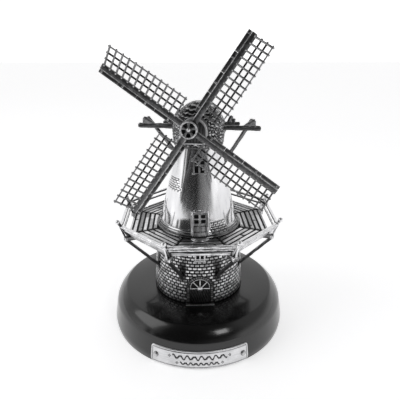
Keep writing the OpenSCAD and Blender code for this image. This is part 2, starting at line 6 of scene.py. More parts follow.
import bpy
import numpy as np
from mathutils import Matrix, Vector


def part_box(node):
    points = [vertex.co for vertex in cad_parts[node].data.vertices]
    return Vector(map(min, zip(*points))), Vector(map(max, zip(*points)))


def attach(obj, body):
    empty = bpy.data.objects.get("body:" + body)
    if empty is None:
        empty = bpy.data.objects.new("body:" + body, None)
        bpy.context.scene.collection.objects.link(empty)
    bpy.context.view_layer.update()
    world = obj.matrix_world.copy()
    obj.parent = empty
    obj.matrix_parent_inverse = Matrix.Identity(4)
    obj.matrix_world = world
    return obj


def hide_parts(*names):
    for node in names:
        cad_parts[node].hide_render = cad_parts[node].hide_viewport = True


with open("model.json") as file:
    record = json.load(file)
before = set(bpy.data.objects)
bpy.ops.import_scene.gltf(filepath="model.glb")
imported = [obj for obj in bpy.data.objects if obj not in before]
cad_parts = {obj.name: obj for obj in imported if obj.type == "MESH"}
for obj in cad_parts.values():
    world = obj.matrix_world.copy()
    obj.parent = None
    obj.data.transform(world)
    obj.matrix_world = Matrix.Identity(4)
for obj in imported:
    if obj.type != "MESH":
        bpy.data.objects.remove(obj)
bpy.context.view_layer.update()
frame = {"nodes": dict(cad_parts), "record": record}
nodes = frame["nodes"]
MM = 0.001


def mm_box(node):
    """A node's lowest and highest corners in millimetres."""
    low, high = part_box(node)
    return np.array(low) / MM, np.array(high) / MM


# ------------------------------------------------------------------ sizes, all in millimetres

PLINTH_H = mm_box("plinth")[1][2]
DECK_LOW, FLOOR = (mm_box("stage_deck")[k][2] for k in (0, 1))
TOWER_LOW, TOWER_TOP = (mm_box("tower_body")[k][2] for k in (0, 1))
BASE_FOOT_R = -mm_box("brick_base")[0][0]
BASE_TOP_R = 23.1
TOWER_FOOT_R, TOWER_NECK_R, TOWER_H = 21.6, 11.4, 46  # its straight taper: radii at the deck and the neck
SIDE_TURN = math.radians(45)  # the stage is an octagon, with its corners at CORNERS
CORNERS = [(i + 0.5) * SIDE_TURN for i in range(8)]
joints = {j["name"]: j for j in frame["record"]["behaviour"]["joints"]}
SHAFT = np.array(joints["sail_turn"]["axis"], float)
SHAFT_AT = np.array(joints["sail_turn"]["pos_m"], float) / MM
CAP_TURN = math.atan2(-SHAFT[0], -SHAFT[1])
TILT = math.asin(SHAFT[2])


def spin(axis, angle):
    """The 3x3 matrix of a right-handed turn about a row axis."""
    c, s = math.cos(angle), math.sin(angle)
    return {
        "x": np.array([[1, 0, 0], [0, c, -s], [0, s, c]]),
        "y": np.array([[c, 0, s], [0, 1, 0], [-s, 0, c]]),
        "z": np.array([[c, -s, 0], [s, c, 0], [0, 0, 1]]),
    }[axis]


# ------------------------------------------------------------------ materials

MIX_A, MIX_B, MIX_OUT = 6, 7, 2  # the colour sockets of a Mix node


def silver_grey(value):
    """A grey whose blue is 1.5 % stronger, as silver's is."""
    return (value, value, value * 1.015, 1)


class Nodes:
    """A node tree that is filled one node at a time."""

    def __init__(self, tree):
        self.tree = tree

    def add(self, kind, inputs, out=0, **settings):
        """Adds a node whose inputs are numbers or other nodes' outputs, and gives one output of it."""
        node = self.tree.nodes.new("ShaderNode" + kind)
        for name, value in settings.items():
            setattr(node, name, value)
        for name, value in inputs.items():
            if isinstance(value, bpy.types.NodeSocket):
                self.tree.links.new(value, node.inputs[name])
            else:
                node.inputs[name].default_value = value
        return node.outputs[out]

    def ramp(self, value, stops):
        """Greys or colours at places from 0 to 1, blended evenly between them."""
        node = self.tree.nodes.new("ShaderNodeValToRGB")
        ends = node.color_ramp.elements
        while len(ends) < len(stops):
            ends.new(0.5)
        for end, (place, shade) in zip(ends, stops):
            end.position = place
            end.color = shade if isinstance(shade, tuple) else silver_grey(shade)
        self.tree.links.new(value, node.inputs["Fac"])
        return node.outputs["Color"]

    def mix(self, share, a, b):
        """Colour a where the share is 0 and b where it is 1."""
        return self.add("Mix", {0: share, MIX_A: a, MIX_B: b}, MIX_OUT, data_type="RGBA")


class Finish(Nodes):
    """A material; its values that never vary sit on the shader's own sockets."""

    def __init__(self, name, roughness, metallic=1.0, coat=0.0):
        self.mat = bpy.data.materials.new(name)
        self.mat.use_nodes = True
        super().__init__(self.mat.node_tree)
        self.shader = self.tree.nodes["Principled BSDF"]
        self.shader.inputs["Metallic"].default_value = metallic
        self.shader.inputs["Roughness"].default_value = roughness
        self.shader.inputs["Coat Weight"].default_value = coat
        self.at = self.add("TexCoord", {}, "Object")

    def noise(self, scale, detail=4.0, rough=0.55, stretch=(1, 1, 1)):
        """Noise with its scale in waves per metre, stretched along the row axes."""
        at = self.add("Mapping", {"Vector": self.at, "Scale": stretch})
        wanted = {"Vector": at, "Scale": scale, "Detail": detail, "Roughness": rough}
        return self.add("TexNoise", wanted, "Fac")

    def times(self, a, b):
        """The product of two values from 0 to 1."""
        return self.add("Math", {0: a, 1: b}, operation="MULTIPLY", use_clamp=True)

    def wear_and_shade(self):
        """The piece's own wear and painted shade: 0 in a recess or shade, 1 on a rubbed edge or a lit face.
        """
        return self.add("Attribute", {}, "Fac", attribute_name="wear_and_shade")

    def open_face(self, reach):
        """How open the surface is around a point, from 0 in a corner to 1 on a free face."""
        return self.add("AmbientOcclusion", {"Distance": reach * MM}, "AO", samples=6)

    def colour(self, value):
        """Base colour."""
        self.tree.links.new(value, self.shader.inputs["Base Color"])
        return self

    def rough(self, value, low, high):
        """Roughness that runs from low to high with the value."""
        spread = self.add("MapRange", {"Value": value, "To Min": low, "To Max": high}, "Result")
        self.tree.links.new(spread, self.shader.inputs["Roughness"])
        return self

    def bump(self, value, height):
        """Bump whose full height is given in millimetres."""
        normal = self.add("Bump", {"Height": value, "Distance": height * MM}, "Normal")
        self.tree.links.new(normal, self.shader.inputs["Normal"])
        return self


def black_lacquer():
    """Deep black gloss over turned wood, a little uneven."""
    f = Finish("black_lacquer", 0.2, metallic=0.0, coat=0.3)
    f.shader.inputs["Coat Roughness"].default_value = 0.05
    f.colour(f.ramp(f.noise(60, 3), [(0.3, 0.002), (0.75, 0.005)]))
    return f.bump(f.noise(140, 2), 0.02).mat


def polished_silver():
    """Mirror silver with faint upright polishing streaks; its engraved lines and painted shade are dark."""
    f = Finish("polished_silver", 0.09)
    streaks = f.noise(150, 5, stretch=(1, 1, 0.12))
    f.colour(f.mix(f.wear_and_shade(), silver_grey(0.05), f.ramp(streaks, [(0.3, 0.58), (0.62, 0.9)])))
    f.rough(f.noise(700, 5, stretch=(1, 1, 0.25)), 0.05, 0.16)
    return f.bump(streaks, 0.06).mat


def aged_silver():
    """Silver darkened where polishing doesn't reach; bright on its wear, its painted light and open faces.
    """
    f = Finish("aged_silver", 0.3)
    worn_and_shaded = f.times(f.wear_and_shade(), f.open_face(1.0))
    patchy = f.times(worn_and_shaded, f.ramp(f.noise(900, 5), [(0.3, 0.8), (0.6, 1.0)]))
    f.colour(f.ramp(patchy, [(0.1, 0.015), (0.4, 0.14), (0.72, 0.55), (0.92, 0.88)]))
    f.rough(patchy, 0.5, 0.27)
    return f.bump(f.noise(1500, 4), 0.06).mat


def dark_silver():
    """Oxidised silver: dark in its grain, brighter along rubbed edges."""
    f = Finish("dark_silver", 0.36)
    grain = f.noise(1100, 5, 0.65)
    worn = f.times(f.wear_and_shade(), f.ramp(grain, [(0.3, 0.7), (0.62, 1.0)]))
    f.colour(f.ramp(worn, [(0.1, 0.018), (0.45, 0.09), (0.7, 0.24), (1.0, 0.8)]))
    f.rough(grain, 0.28, 0.46)
    return f.bump(grain, 0.05).mat


def satin_silver():
    """Brushed along the plate, dull in patches, with blackened engraving."""
    f = Finish("satin_silver", 0.3)
    brushed = f.noise(2600, 3, stretch=(0.06, 0.06, 1))
    dull = f.noise(160, 4)
    metal = f.ramp(f.times(brushed, dull), [(0.1, 0.56), (0.5, 0.9)])
    f.colour(f.mix(f.wear_and_shade(), silver_grey(0.008), metal))
    f.rough(dull, 0.26, 0.42)
    return f.bump(brushed, 0.012).mat


def dark_pane():
    """Blackened metal behind the window bars, with hardly any gloss."""
    f = Finish("dark_pane", 0.3, metallic=0.0)
    f.shader.inputs["Specular IOR Level"].default_value = 0.12
    f.colour(f.ramp(f.noise(500, 3), [(0.3, 0.004), (0.8, 0.02)]))
    return f.bump(f.noise(500, 3), 0.03).mat


MATERIALS = {
    make.__name__: make()
    for make in (black_lacquer, polished_silver, aged_silver, dark_silver, satin_silver, dark_pane)
}
slots = {s["node"]: s["material_slot"] for s in frame["record"]["subparts"]}
for name, cad in nodes.items():
    cad.data.materials.clear()
    cad.data.materials.append(MATERIALS[slots[name]])


# ------------------------------------------------------------------ building meshes


def scatter(*numbers):
    """A fixed pseudo-random value from 0 to 1, different for each set of numbers: the fraction of
    43758.5453 times the sine of their sum, each number having its own odd factor."""
    factors = (12.9898, 78.233, 37.719, 9.151)
    total = sum(f * np.asarray(n, float) for f, n in zip(factors, numbers))
    value = np.sin(total) * 43758.5453
    return value - np.floor(value)


def smooth(t):
    """0 below 0, 1 above 1, and 3t^2 - 2t^3 between."""
    t = np.clip(t, 0, 1)
    return t * t * (3 - 2 * t)


def ripple(u, v, seed=0.0):
    """A sum of five sine waves across a surface, roughly from -1 to 1."""
    total = 0
    for k in range(5):
        a, b = 0.7 + 1.9 * scatter(k, seed), 0.7 + 1.9 * scatter(k + 7, seed)
        total = total + np.sin(a * u + b * v + 6.28 * scatter(k, seed, 3)) * (0.42 - 0.04 * k)
    return total * 0.8


def cobbles(u, v, size):
    """Rounded cells about jittered middles: 0 along the edges, and 1 where the nearest middle is
    nearer than the second nearest by half a cell; with each cell's own random value."""
    u, v = np.broadcast_arrays(u / size, v / size)
    near, second, tone = np.full(u.shape, 9.0), np.full(u.shape, 9.0), np.zeros(u.shape)
    for i in (-1, 0, 1):
        for j in (-1, 0, 1):
            a, b = np.floor(u) + i, np.floor(v) + j
            away = np.hypot(u - a - 0.1 - 0.8 * scatter(a, b), v - b - 0.1 - 0.8 * scatter(b, a, 4))
            second = np.minimum(second, np.maximum(near, away))
            tone = np.where(away < near, scatter(a, b, 2), tone)
            near = np.minimum(near, away)
    return smooth((second - near) / 0.5), tone


class Shape:
    """Closed surfaces gathered into one mesh, each point with its wear and painted shade from 0 to 1."""

    def __init__(self):
        self.points = []
        self.wears_and_shades = []
        self.faces = []
        self.count = 0

    def add(self, points, faces, wear_and_shade):
        """Adds one closed surface, turned so that its signed volume is positive."""
        points = np.asarray(points, float).reshape(-1, 3)
        volume = 0.0
        for group in faces:
            for k in range(1, group.shape[1] - 1):
                a, b, c = points[group[:, 0]], points[group[:, k]], points[group[:, k + 1]]
                volume += np.einsum("ij,ij->", a, np.cross(b, c))
        for group in faces:
            self.faces += ((group if volume > 0 else group[:, ::-1]) + self.count).tolist()
        self.points.append(points)
        self.wears_and_shades.append(wear_and_shade)
        self.count += len(points)

    def loft(self, rings, wear_and_shade=0.6):
        """Rings of points joined in order, with a middle point closing each end."""
        n, m = rings.shape[:2]
        i, j = np.meshgrid(np.arange(n - 1), np.arange(m), indexing="ij")
        k = (j + 1) % m
        quads = np.stack([i * m + j, i * m + k, (i + 1) * m + k, (i + 1) * m + j], -1).reshape(-1, 4)
        j, k = np.arange(m), (np.arange(m) + 1) % m
        low = np.stack([np.full(m, n * m), k, j], -1)
        high = np.stack([np.full(m, n * m + 1), j + (n - 1) * m, k + (n - 1) * m], -1)
        points = np.concatenate([rings.reshape(-1, 3), rings[0].mean(0)[None], rings[-1].mean(0)[None]])
        wear_and_shade = np.broadcast_to(wear_and_shade, (n, m))
        wear_and_shade = np.concatenate([wear_and_shade.ravel(), [wear_and_shade[0].mean(), wear_and_shade[-1].mean()]])
        self.add(points, [quads, np.concatenate([low, high])], wear_and_shade)

    def ring(self, rings, wear_and_shade=0.6):
        """Rings of points joined in order, the last one to the first."""
        n, m = rings.shape[:2]
        i, j = np.meshgrid(np.arange(n), np.arange(m), indexing="ij")
        p, k = (i + 1) % n, (j + 1) % m
        quads = np.stack([i * m + j, i * m + k, p * m + k, p * m + j], -1).reshape(-1, 4)
        self.add(rings.reshape(-1, 3), [quads], np.broadcast_to(wear_and_shade, (n, m)).ravel())

    def slab(self, outer, inner, wear_and_shade=0.6, inner_wear=0.2):
        """Two matching grids of points joined around their edges."""
        n, m = outer.shape[:2]
        i, j = np.meshgrid(np.arange(n - 1), np.arange(m - 1), indexing="ij")
        top = np.stack([i * m + j, i * m + j + 1, (i + 1) * m + j + 1, (i + 1) * m + j], -1).reshape(-1, 4)
        low = top[:, ::-1] + n * m
        edge = np.concatenate([
            np.arange(m), np.arange(1, n) * m + m - 1,
            (n - 1) * m + np.arange(m - 2, -1, -1), np.arange(n - 2, 0, -1) * m,
        ])
        after = np.roll(edge, -1)
        sides = np.stack([after, edge, edge + n * m, after + n * m], -1)
        wears_and_shades = [np.broadcast_to(w, (n, m)).ravel() for w in (wear_and_shade, inner_wear)]
        self.add(np.concatenate([outer.reshape(-1, 3), inner.reshape(-1, 3)]), [top, low, sides],
                 np.concatenate(wears_and_shades))

    def piece(self, name, body, *replaced, sharp=38):
        """Makes the object: it rides a body, and stands in for the CAD nodes named."""
        mesh = bpy.data.meshes.new(name)
        points = np.concatenate(self.points) * MM
        mesh.from_pydata(points.tolist(), [], self.faces)
        mesh.attributes.new("wear_and_shade", "FLOAT", "POINT").data.foreach_set(
            "value", np.concatenate(self.wears_and_shades).astype(np.float32))
        mesh.polygons.foreach_set("use_smooth", np.ones(len(mesh.polygons), bool))
        mesh.set_sharp_from_angle(angle=math.radians(sharp))
        slot = slots[replaced[0]]
        mesh.materials.append(MATERIALS[slot])
        obj = bpy.data.objects.new(name, mesh)
        bpy.context.collection.objects.link(obj)
        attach(obj, body)
        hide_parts(*replaced)
        return obj


def outline(a, b, bevel, corner=3, face=2):
    """A rounded rectangle with half sizes a and b: points, and how far each is from a corner."""
    points, edge = [], []
    for k, (sx, sy) in enumerate(((1, 1), (-1, 1), (-1, -1), (1, -1))):
        for c in range(corner):
            t = math.pi / 2 * (k + c / (corner - 1))
            points.append((sx * (a - bevel) + bevel * math.cos(t), sy * (b - bevel) + bevel * math.sin(t)))
            edge.append(1.0)
        last = np.array(points[-1])
        nx, ny = ((-1, 1), (-1, -1), (1, -1), (1, 1))[k]
        t = math.pi / 2 * (k + 1)
        ahead = np.array([nx * (a - bevel) + bevel * math.cos(t), ny * (b - bevel) + bevel * math.sin(t)])
        for c in range(face):
            points.append(tuple(last + (ahead - last) * (c + 1) / (face + 1)))
            edge.append(0.0)
    return np.array(points), np.array(edge)


def bar(shape, p, q, size, bevel=0.25, rub=(0.45, 1.0), steps=2, rough=0.0, seed=1.0,
        across=None, ends=1.0, corner=3, face=1, move=None, faces=None, tip=None):
    """A bar from p to q with rounded edges, its size being its width across and its height.

    A rough one has a grain of sine waves along it, and a middle that wanders by another. rub holds
    the wear of its faces and its edges. faces, instead, gives the wear and painted light and shade of
    its right, upper, left and lower faces, seen from its start, and tip that of its far end. corner
    and face are how many points round an edge and divide a face.
    """
    w, h = size
    p, q = np.array(p, float), np.array(q, float)
    d = (q - p) / np.linalg.norm(q - p)
    side = np.cross((0, 0, 1), d) if across is None else np.array(across, float)
    side = side - d * side.dot(d)
    side = side / np.linalg.norm(side)
    up = np.cross(d, side)
    flat, edge = outline(w / 2, h / 2, bevel, corner, face)
    long = np.linalg.norm(q - p)
    places = np.concatenate([
        [0, bevel * 0.35], np.linspace(bevel, long - bevel, steps), [long - bevel * 0.35, long]])
    scale = np.ones(len(places))
    trim = ends * bevel / min(w, h) * 2
    scale[[0, -1]] = 1 - trim
    scale[[1, -2]] = 1 - trim * 0.3
    turn = np.arctan2(flat[:, 1], flat[:, 0])
    grain = ripple(turn[None, :] * 4.0, places[:, None] * 0.55, seed) * rough
    wander = ripple(places * 0.35, places * 0.0, seed + 2) * rough * 1.3
    swell = scale[:, None] * (1 + (grain - abs(rough)) / min(w, h) * 2)
    flat_u = flat[None, :, 0] * swell
    flat_v = flat[None, :, 1] * swell
    rings = (p + places[:, None, None] * d + (flat_u + wander[:, None] * 0.4)[..., None] * side
             + flat_v[..., None] * up)
    # faces: painted light and shade per side, blended around the bar by where each point lies.
    if faces:
        sides = (flat[:, 0] / w * 2, flat[:, 1] / h * 2, -flat[:, 0] / w * 2, -flat[:, 1] / h * 2)
        shares = np.stack([np.clip((s - 0.6) / 0.4, 0.001, 1) for s in sides])
        worn = (shares * np.array(faces)[:, None]).sum(0) / shares.sum(0)
        wear_and_shade = (worn + 0.15 * edge * (worn > 0.4))[None, :] + 0.14 * grain / (abs(rough) + 0.03)
    else:
        wear_and_shade = rub[0] + (rub[1] - rub[0]) * edge[None, :]
        wear_and_shade = wear_and_shade + (grain / (abs(rough) + 1e-6)) * 0.12 * (rough > 0)
    wear_and_shade = np.array(np.broadcast_to(wear_and_shade, rings.shape[:2]))
    if tip is not None:
        wear_and_shade[-2:] = tip
    if move:
        rings = move(rings)
    shape.loft(rings, np.clip(wear_and_shade, 0, 1))


def turned(shape, profile, at=(0, 0, 0), count=24, wear_and_shade=0.7, move=None):
    """A lathe-turned solid about +Z from (radius, height) points; its ends close on the axis."""
    profile = np.array(profile, float)
    turn = np.arange(count) / count * 2 * math.pi
    rings = np.stack([
        profile[:, 0, None] * np.cos(turn), profile[:, 0, None] * np.sin(turn),
        profile[:, 1, None] * np.ones(count)], -1)
    if move:
        rings = move(rings)
    wear_and_shade = np.asarray(wear_and_shade, float)
    shape.loft(rings + np.array(at, float), wear_and_shade[:, None] if wear_and_shade.ndim else wear_and_shade)


def ball(radius, flat=1.0, steps=5):
    """Profile of a ball about its own centre, its height times flat."""
    t = np.linspace(0.12, math.pi - 0.12, steps)
    return [(radius * math.sin(a), -radius * flat * math.cos(a)) for a in t]


def around(turn, radius, z):
    """The point at a turn from the front, towards the right, at a radius and height."""
    turn, radius, z = np.broadcast_arrays(turn, radius, z)
    return np.stack([radius * np.sin(turn), -radius * np.cos(turn), z], -1)


def base_r(z):
    """Radius of the brick base: a straight taper from its foot to the deck."""
    return BASE_FOOT_R + (BASE_TOP_R - BASE_FOOT_R) * (z - PLINTH_H) / (DECK_LOW - PLINTH_H)


def taper_r(z):
    """Radius of the tower without its flare: a straight taper from the deck up."""
    return TOWER_FOOT_R + (TOWER_NECK_R - TOWER_FOOT_R) * (z - FLOOR) / TOWER_H


def tower_r(z):
    """Radius of the tower: its taper, plus 1.4 ((10 - h) / 10)^2.3 on the lowest 10 mm."""
    low = np.clip(10 - (z - FLOOR), 0, None)
    return taper_r(z) + 1.4 * (low / 10) ** 2.3


def courses(along, up, length, course, joint, soft=0.2):
    """Bricks in stretcher bond: how far a point is onto a brick, and the brick's own random value."""
    row = np.floor(up / course)
    place = along / length + row * 0.5 + 0.16 * scatter(row, 5)
    column = np.floor(place)
    u = (place - column) * length
    v = up - row * course
    edge = np.minimum(np.minimum(u, length - u), np.minimum(v, course - v)) - joint / 2
    return smooth(edge / soft), scatter(column, row)


def wall_patch(shape, wall, turn, half, heights, depths, grid=(9, 2), wear_and_shade=0.6, relief=None):
    """A curved slab on a round wall, from half to the left of a turn to half to the right of it.

    wall gives the wall's radius at a height; the slab lies between two depths over that radius.
    """
    x = np.linspace(-half, half, grid[0])[None, :]
    z = np.linspace(*heights, grid[1])[:, None]
    low, high = depths
    lift = np.full(np.broadcast(x, z).shape, float(high)) if relief is None else high + relief(x, z)
    faces = []
    for offset in (lift, low):
        r = wall(z) + offset
        faces.append(around(turn + np.arcsin(np.clip(x / r, -1, 1)), r, z + 0 * x))
    shape.slab(*faces, wear_and_shade(x, z) if callable(wear_and_shade) else wear_and_shade)


def wall_bar(shape, wall, turn, a, b, width, depths, rub=(0.6, 1.0), bevel=0.12):
    """A straight moulding on a round wall between two (across, height) points of a facing plane."""
    low, high = depths
    aside = np.array([math.cos(turn), math.sin(turn), 0])
    ends = []
    for x, z in (a, b):
        r = wall(z) + (low + high) / 2
        ends.append(around(turn, np.sqrt(r * r - x * x), z) + x * aside)
    face = np.array([math.sin(turn), -math.cos(turn), 0])
    way = (ends[1] - ends[0]) / np.linalg.norm(ends[1] - ends[0])
    bar(shape, *ends, (width, high - low), bevel, rub, across=np.cross(face, way))


# ------------------------------------------------------------------ plinth and plate

PLINTH_R, BELLY_H = 50.0, 3.5
SHOULDER_R, SHOULDER_H, PLINTH_TOP_R = 48.2, 14.2, 42.3
PLATE_TURN, PLATE_HALF = math.radians(-1.3), math.radians(30)
PLATE_LOW, PLATE_HIGH, PLATE_THICK = 0.9, 10.9, 0.6
PLATE_ROUND = 1.6


def plinth():
    """A turned plinth: its band leans in from the belly, then an ovolo rolls over to the flat top.

    The ovolo is a chord plus a bulge of 4 t (1 - t), pushed out and up.
    """
    bulge_out, bulge_up = 0.7 * 0.78, 0.7 * 0.63
    roll = [(SHOULDER_R - (SHOULDER_R - PLINTH_TOP_R) * t + 4 * bulge_out * t * (1 - t),
             SHOULDER_H + (PLINTH_H - SHOULDER_H) * t + 4 * bulge_up * t * (1 - t))
            for t in np.linspace(0, 1, 12)]
    band = [(49.2, 0), (49.7, 0.35), (49.95, 2.2), (PLINTH_R, BELLY_H), (49.8, 5), (48.45, 13)]
    top = [(42.45, 21.38), (42.05, PLINTH_H), (30, PLINTH_H)]
    shape = Shape()
    turned(shape, [(0.05, 0)] + band + roll[:-1] + top + [(0.05, PLINTH_H)], count=160)
    shape.piece("plinth_lacquered", "mill", "plinth", sharp=35)


def band_r(z):
    """Radius of the plinth's band at a height, where the plate lies: two straight tapers."""
    z = np.asarray(z, float)
    lean = (PLINTH_R - SHOULDER_R) / (SHOULDER_H - BELLY_H)
    return np.where(z < BELLY_H, 49.7 + 0.3 * z / BELLY_H, PLINTH_R - lean * (z - BELLY_H))


def engraving(s, z):
    """Depth of the plate's lines: a border, and two rows of plain scrolls between small diamonds.

    A scroll is a sine wave whose height swings by a quarter over two of its lengths.
    """
    half, mid = PLATE_HALF * PLINTH_R, (PLATE_LOW + PLATE_HIGH) / 2
    border = np.maximum(np.abs(s) - (half - 1.0), np.abs(z - mid) - 4.0)
    line = smooth(1.6 - np.abs(border) / 0.13)
    for up, reach, pitch, size in ((1.45, 14.0, 3.6, 1.15), (-1.9, 10.0, 2.6, 0.7)):
        phase = 2 * math.pi * s / pitch
        wave = mid + up + size * np.sin(phase) * (0.75 + 0.25 * np.cos(phase / 2))
        steep = 2 * math.pi * size / pitch * np.cos(phase)
        near = np.abs(z - wave) / np.sqrt(1 + steep ** 2)
        line = np.maximum(line, smooth(1.9 - near / 0.22) * (np.abs(s) < reach))
        diamond = np.abs(np.abs(s) - reach - 1.5) + np.abs(z - mid - up)
        line = np.maximum(line, smooth(1.5 - np.abs(diamond - 0.6) / 0.18))
    return line


def plate():
    """The curved satin plate, with rounded corners and a plain engraved border."""
    turns, heights = 361, 61
    u = np.linspace(-PLATE_HALF, PLATE_HALF, turns)[:, None]
    s = np.abs(u) * PLINTH_R - (PLATE_HALF * PLINTH_R - PLATE_ROUND)
    corner_cut = PLATE_ROUND - np.sqrt(np.clip(PLATE_ROUND ** 2 - s ** 2, 0, None))
    cut = np.where(s > 0, corner_cut, 0)
    share = np.linspace(0, 1, heights)[None, :]
    z = PLATE_LOW + cut + (PLATE_HIGH - PLATE_LOW - 2 * cut) * share
    lines = engraving(u * PLINTH_R, z)
    side_rim = (PLATE_HALF - np.abs(u)) * PLINTH_R
    rim = np.minimum(np.minimum(z - PLATE_LOW - cut, PLATE_HIGH - cut - z), side_rim)
    lift = PLATE_THICK - 0.02 - 0.2 * lines - 0.25 * smooth(1 - rim / 0.35)
    turn = u + PLATE_TURN
    shape = Shape()
    shape.slab(around(turn, band_r(z) + lift, z), around(turn, band_r(z) + 0.02, z), 1 - 0.95 * lines)
    shape.piece("plate_engraved", "mill", "name_plate", sharp=50)


def plate_pins():
    """Two domed pin heads, square to the leaning band."""
    pins = Shape()
    lean = math.atan2(PLINTH_R - SHOULDER_R, SHOULDER_H - BELLY_H)
    dome = [(0.05, 0), (1.43, 0), (1.38, 0.25), (1.1, 0.55), (0.6, 0.75), (0.08, 0.82)]
    mid = (PLATE_LOW + PLATE_HIGH) / 2
    for side in (-1, 1):
        turn = PLATE_TURN + side * (PLATE_HALF - math.radians(3.6))
        facing = spin("z", turn) @ spin("x", math.pi / 2 - lean)
        at = around(turn, float(band_r(mid)) + PLATE_THICK - 0.02, mid)
        turned(pins, dome, at, 24, np.array([0.1, 0.1, 0.25, 0.5, 0.8, 0.9]),
               move=lambda rings, t=facing: rings @ t.T)
    pins.piece("plate_pin_heads", "mill", "plate_pins")


# ------------------------------------------------------------------ brick base

DOOR_W, DOOR_H, TRANSOM, ARCH_W = 11.0, 15.4, 8.8, 1.7
SPRINGING = PLINTH_H + DOOR_H - DOOR_W / 2
WINDOW_W, WINDOW_H, WINDOW_Z = 5.6, 5.6, PLINTH_H + 28.4
WINDOW_TURNS = [math.radians(t) for t in (0, 42, 180, 222)]
BRICK_R = 24.6  # radius on which the bricks' lengths are measured
BRICK_L, BRICK_H, BRICK_JOINT, VOUSSOIR = 2.62, 1.855, 0.3, 1.25
FAR = 99  # stands for a distance on the other side of the mill


def door_distance(x, z):
    """How far a point of the front plane lies outside the arched doorway."""
    return np.hypot(x, np.maximum(z - SPRINGING, 0)) - DOOR_W / 2


def brace_shadows(turn, z):
    """Painted shadows: dark streaks on the wall where each brace meets it, fading upwards."""
    shade = 1
    for middle in CORNERS:
        aside = np.abs(np.angle(np.exp(1j * (turn - middle)))) * BRICK_R
        height = smooth((z - PLINTH_H - 13) / 2.5) * smooth((PLINTH_H + 29 - z) / 9)
        shade = shade * (1 - 0.75 * smooth(1 - (aside - 0.6) / 2.4) * height)
    return shade


def brick_base():
    """The round wall: stretcher bond, worn bright on its faces, with a ring of bricks on the doorway."""
    count, rows = 640, 138
    turn = np.linspace(-math.pi, math.pi, count, endpoint=False)[None, :]
    z = np.linspace(PLINTH_H, DECK_LOW, rows)[:, None]
    radius = base_r(z)
    along = turn * BRICK_R
    up = z - PLINTH_H + 0 * turn
    face, tone = courses(along + 0.1 * np.sin(up * 2.1), up, BRICK_L, BRICK_H, BRICK_JOINT)
    lumps = ripple(along * 3.1, up * 3.3, 4)
    lift = -0.3 + face * (0.3 + 0.16 * tone + 0.05 * lumps)
    wear_and_shade = face * (0.56 + 0.44 * tone + 0.14 * lumps)

    x = radius * np.sin(turn)
    gap = np.where(np.cos(turn) > 0, door_distance(x, z + 0 * turn), FAR)
    angle = np.arctan2(np.abs(x), np.maximum(z - SPRINGING, 0) + 1e-6)
    path = np.where(z > SPRINGING, (math.pi / 2 - angle) * (DOOR_W / 2 + 0.9), z - SPRINGING)
    stone = np.abs((path / VOUSSOIR + 0.5) % 1 - 0.5) * VOUSSOIR
    on_ring = smooth(np.minimum(np.minimum(stone, gap - 0.12), ARCH_W - 0.1 - gap) / 0.2)
    in_ring = (gap > 0) & (gap < ARCH_W + 0.15)
    lift = np.where(in_ring, -0.25 + on_ring * 0.5, lift)
    wear_and_shade = np.where(in_ring, on_ring * (0.3 + 0.3 * scatter(np.floor(path / VOUSSOIR), 2)), wear_and_shade)

    hole = smooth(0.35 - gap / 0.25)
    for middle in WINDOW_TURNS:
        across = np.abs(radius * np.sin(turn - middle)) - (WINDOW_W / 2 - 0.1)
        away = np.maximum(across, np.abs(z - WINDOW_Z) - (WINDOW_H / 2 - 0.1))
        away = np.where(np.cos(turn - middle) > 0, away, FAR)
        hole = np.maximum(hole, smooth(0.3 - away / 0.25))
    lift = lift * (1 - hole) - 1.3 * hole

    # Painted shade: darker by the plinth (its painted reflection), most at the sides, under the deck, at
    # braces.
    shade = 1 - 0.4 * smooth((PLINTH_H + 7 - z) / 7) * (0.3 + 0.7 * np.abs(np.sin(turn)))
    shade = shade - 0.25 * smooth((z - DECK_LOW + 5) / 4)
    shade = shade * (1 - 0.45 * smooth((PLINTH_H + 3.5 - z) / 3.5)) * brace_shadows(turn, z)
    wear_and_shade = np.clip(wear_and_shade * (1 - hole) * shade, 0, 1)
    outer = around(turn, radius + lift, z)
    inner = around(turn, radius - 1.6, z)[::-1]
    shape = Shape()
    shape.ring(np.concatenate([outer, inner[[0, -1]]]), np.concatenate([wear_and_shade, np.full((2, count), 0.1)]))
    shape.piece("brick_wall", "mill", "brick_base", "doorway_arch", sharp=70)


def door_planks():
    """Seven planks, sunk 0.22 mm at each joint, with a fine grain between."""
    plank = DOOR_W / 7

    def grooves(x, z):
        off = np.abs((x / plank + 0.5) % 1 - 0.5) * plank
        return -0.22 * smooth(1 - off / 0.16) - 0.04 + 0.04 * ripple(x * 9, z * 0.6, 2)

    def wear_and_shade(x, z):
        return np.clip(0.36 + 2.6 * grooves(x, z) + 0.3 * ripple(x * 5, z * 0.8, 5), 0, 1)

    shape = Shape()
    wall_patch(shape, base_r, 0, DOOR_W / 2 + 0.02, (PLINTH_H + 0.02, PLINTH_H + TRANSOM + 0.2),
               (-1.15, -0.45), (99, 9), wear_and_shade, grooves)
    shape.piece("door_planks", "mill", "door_leaf")


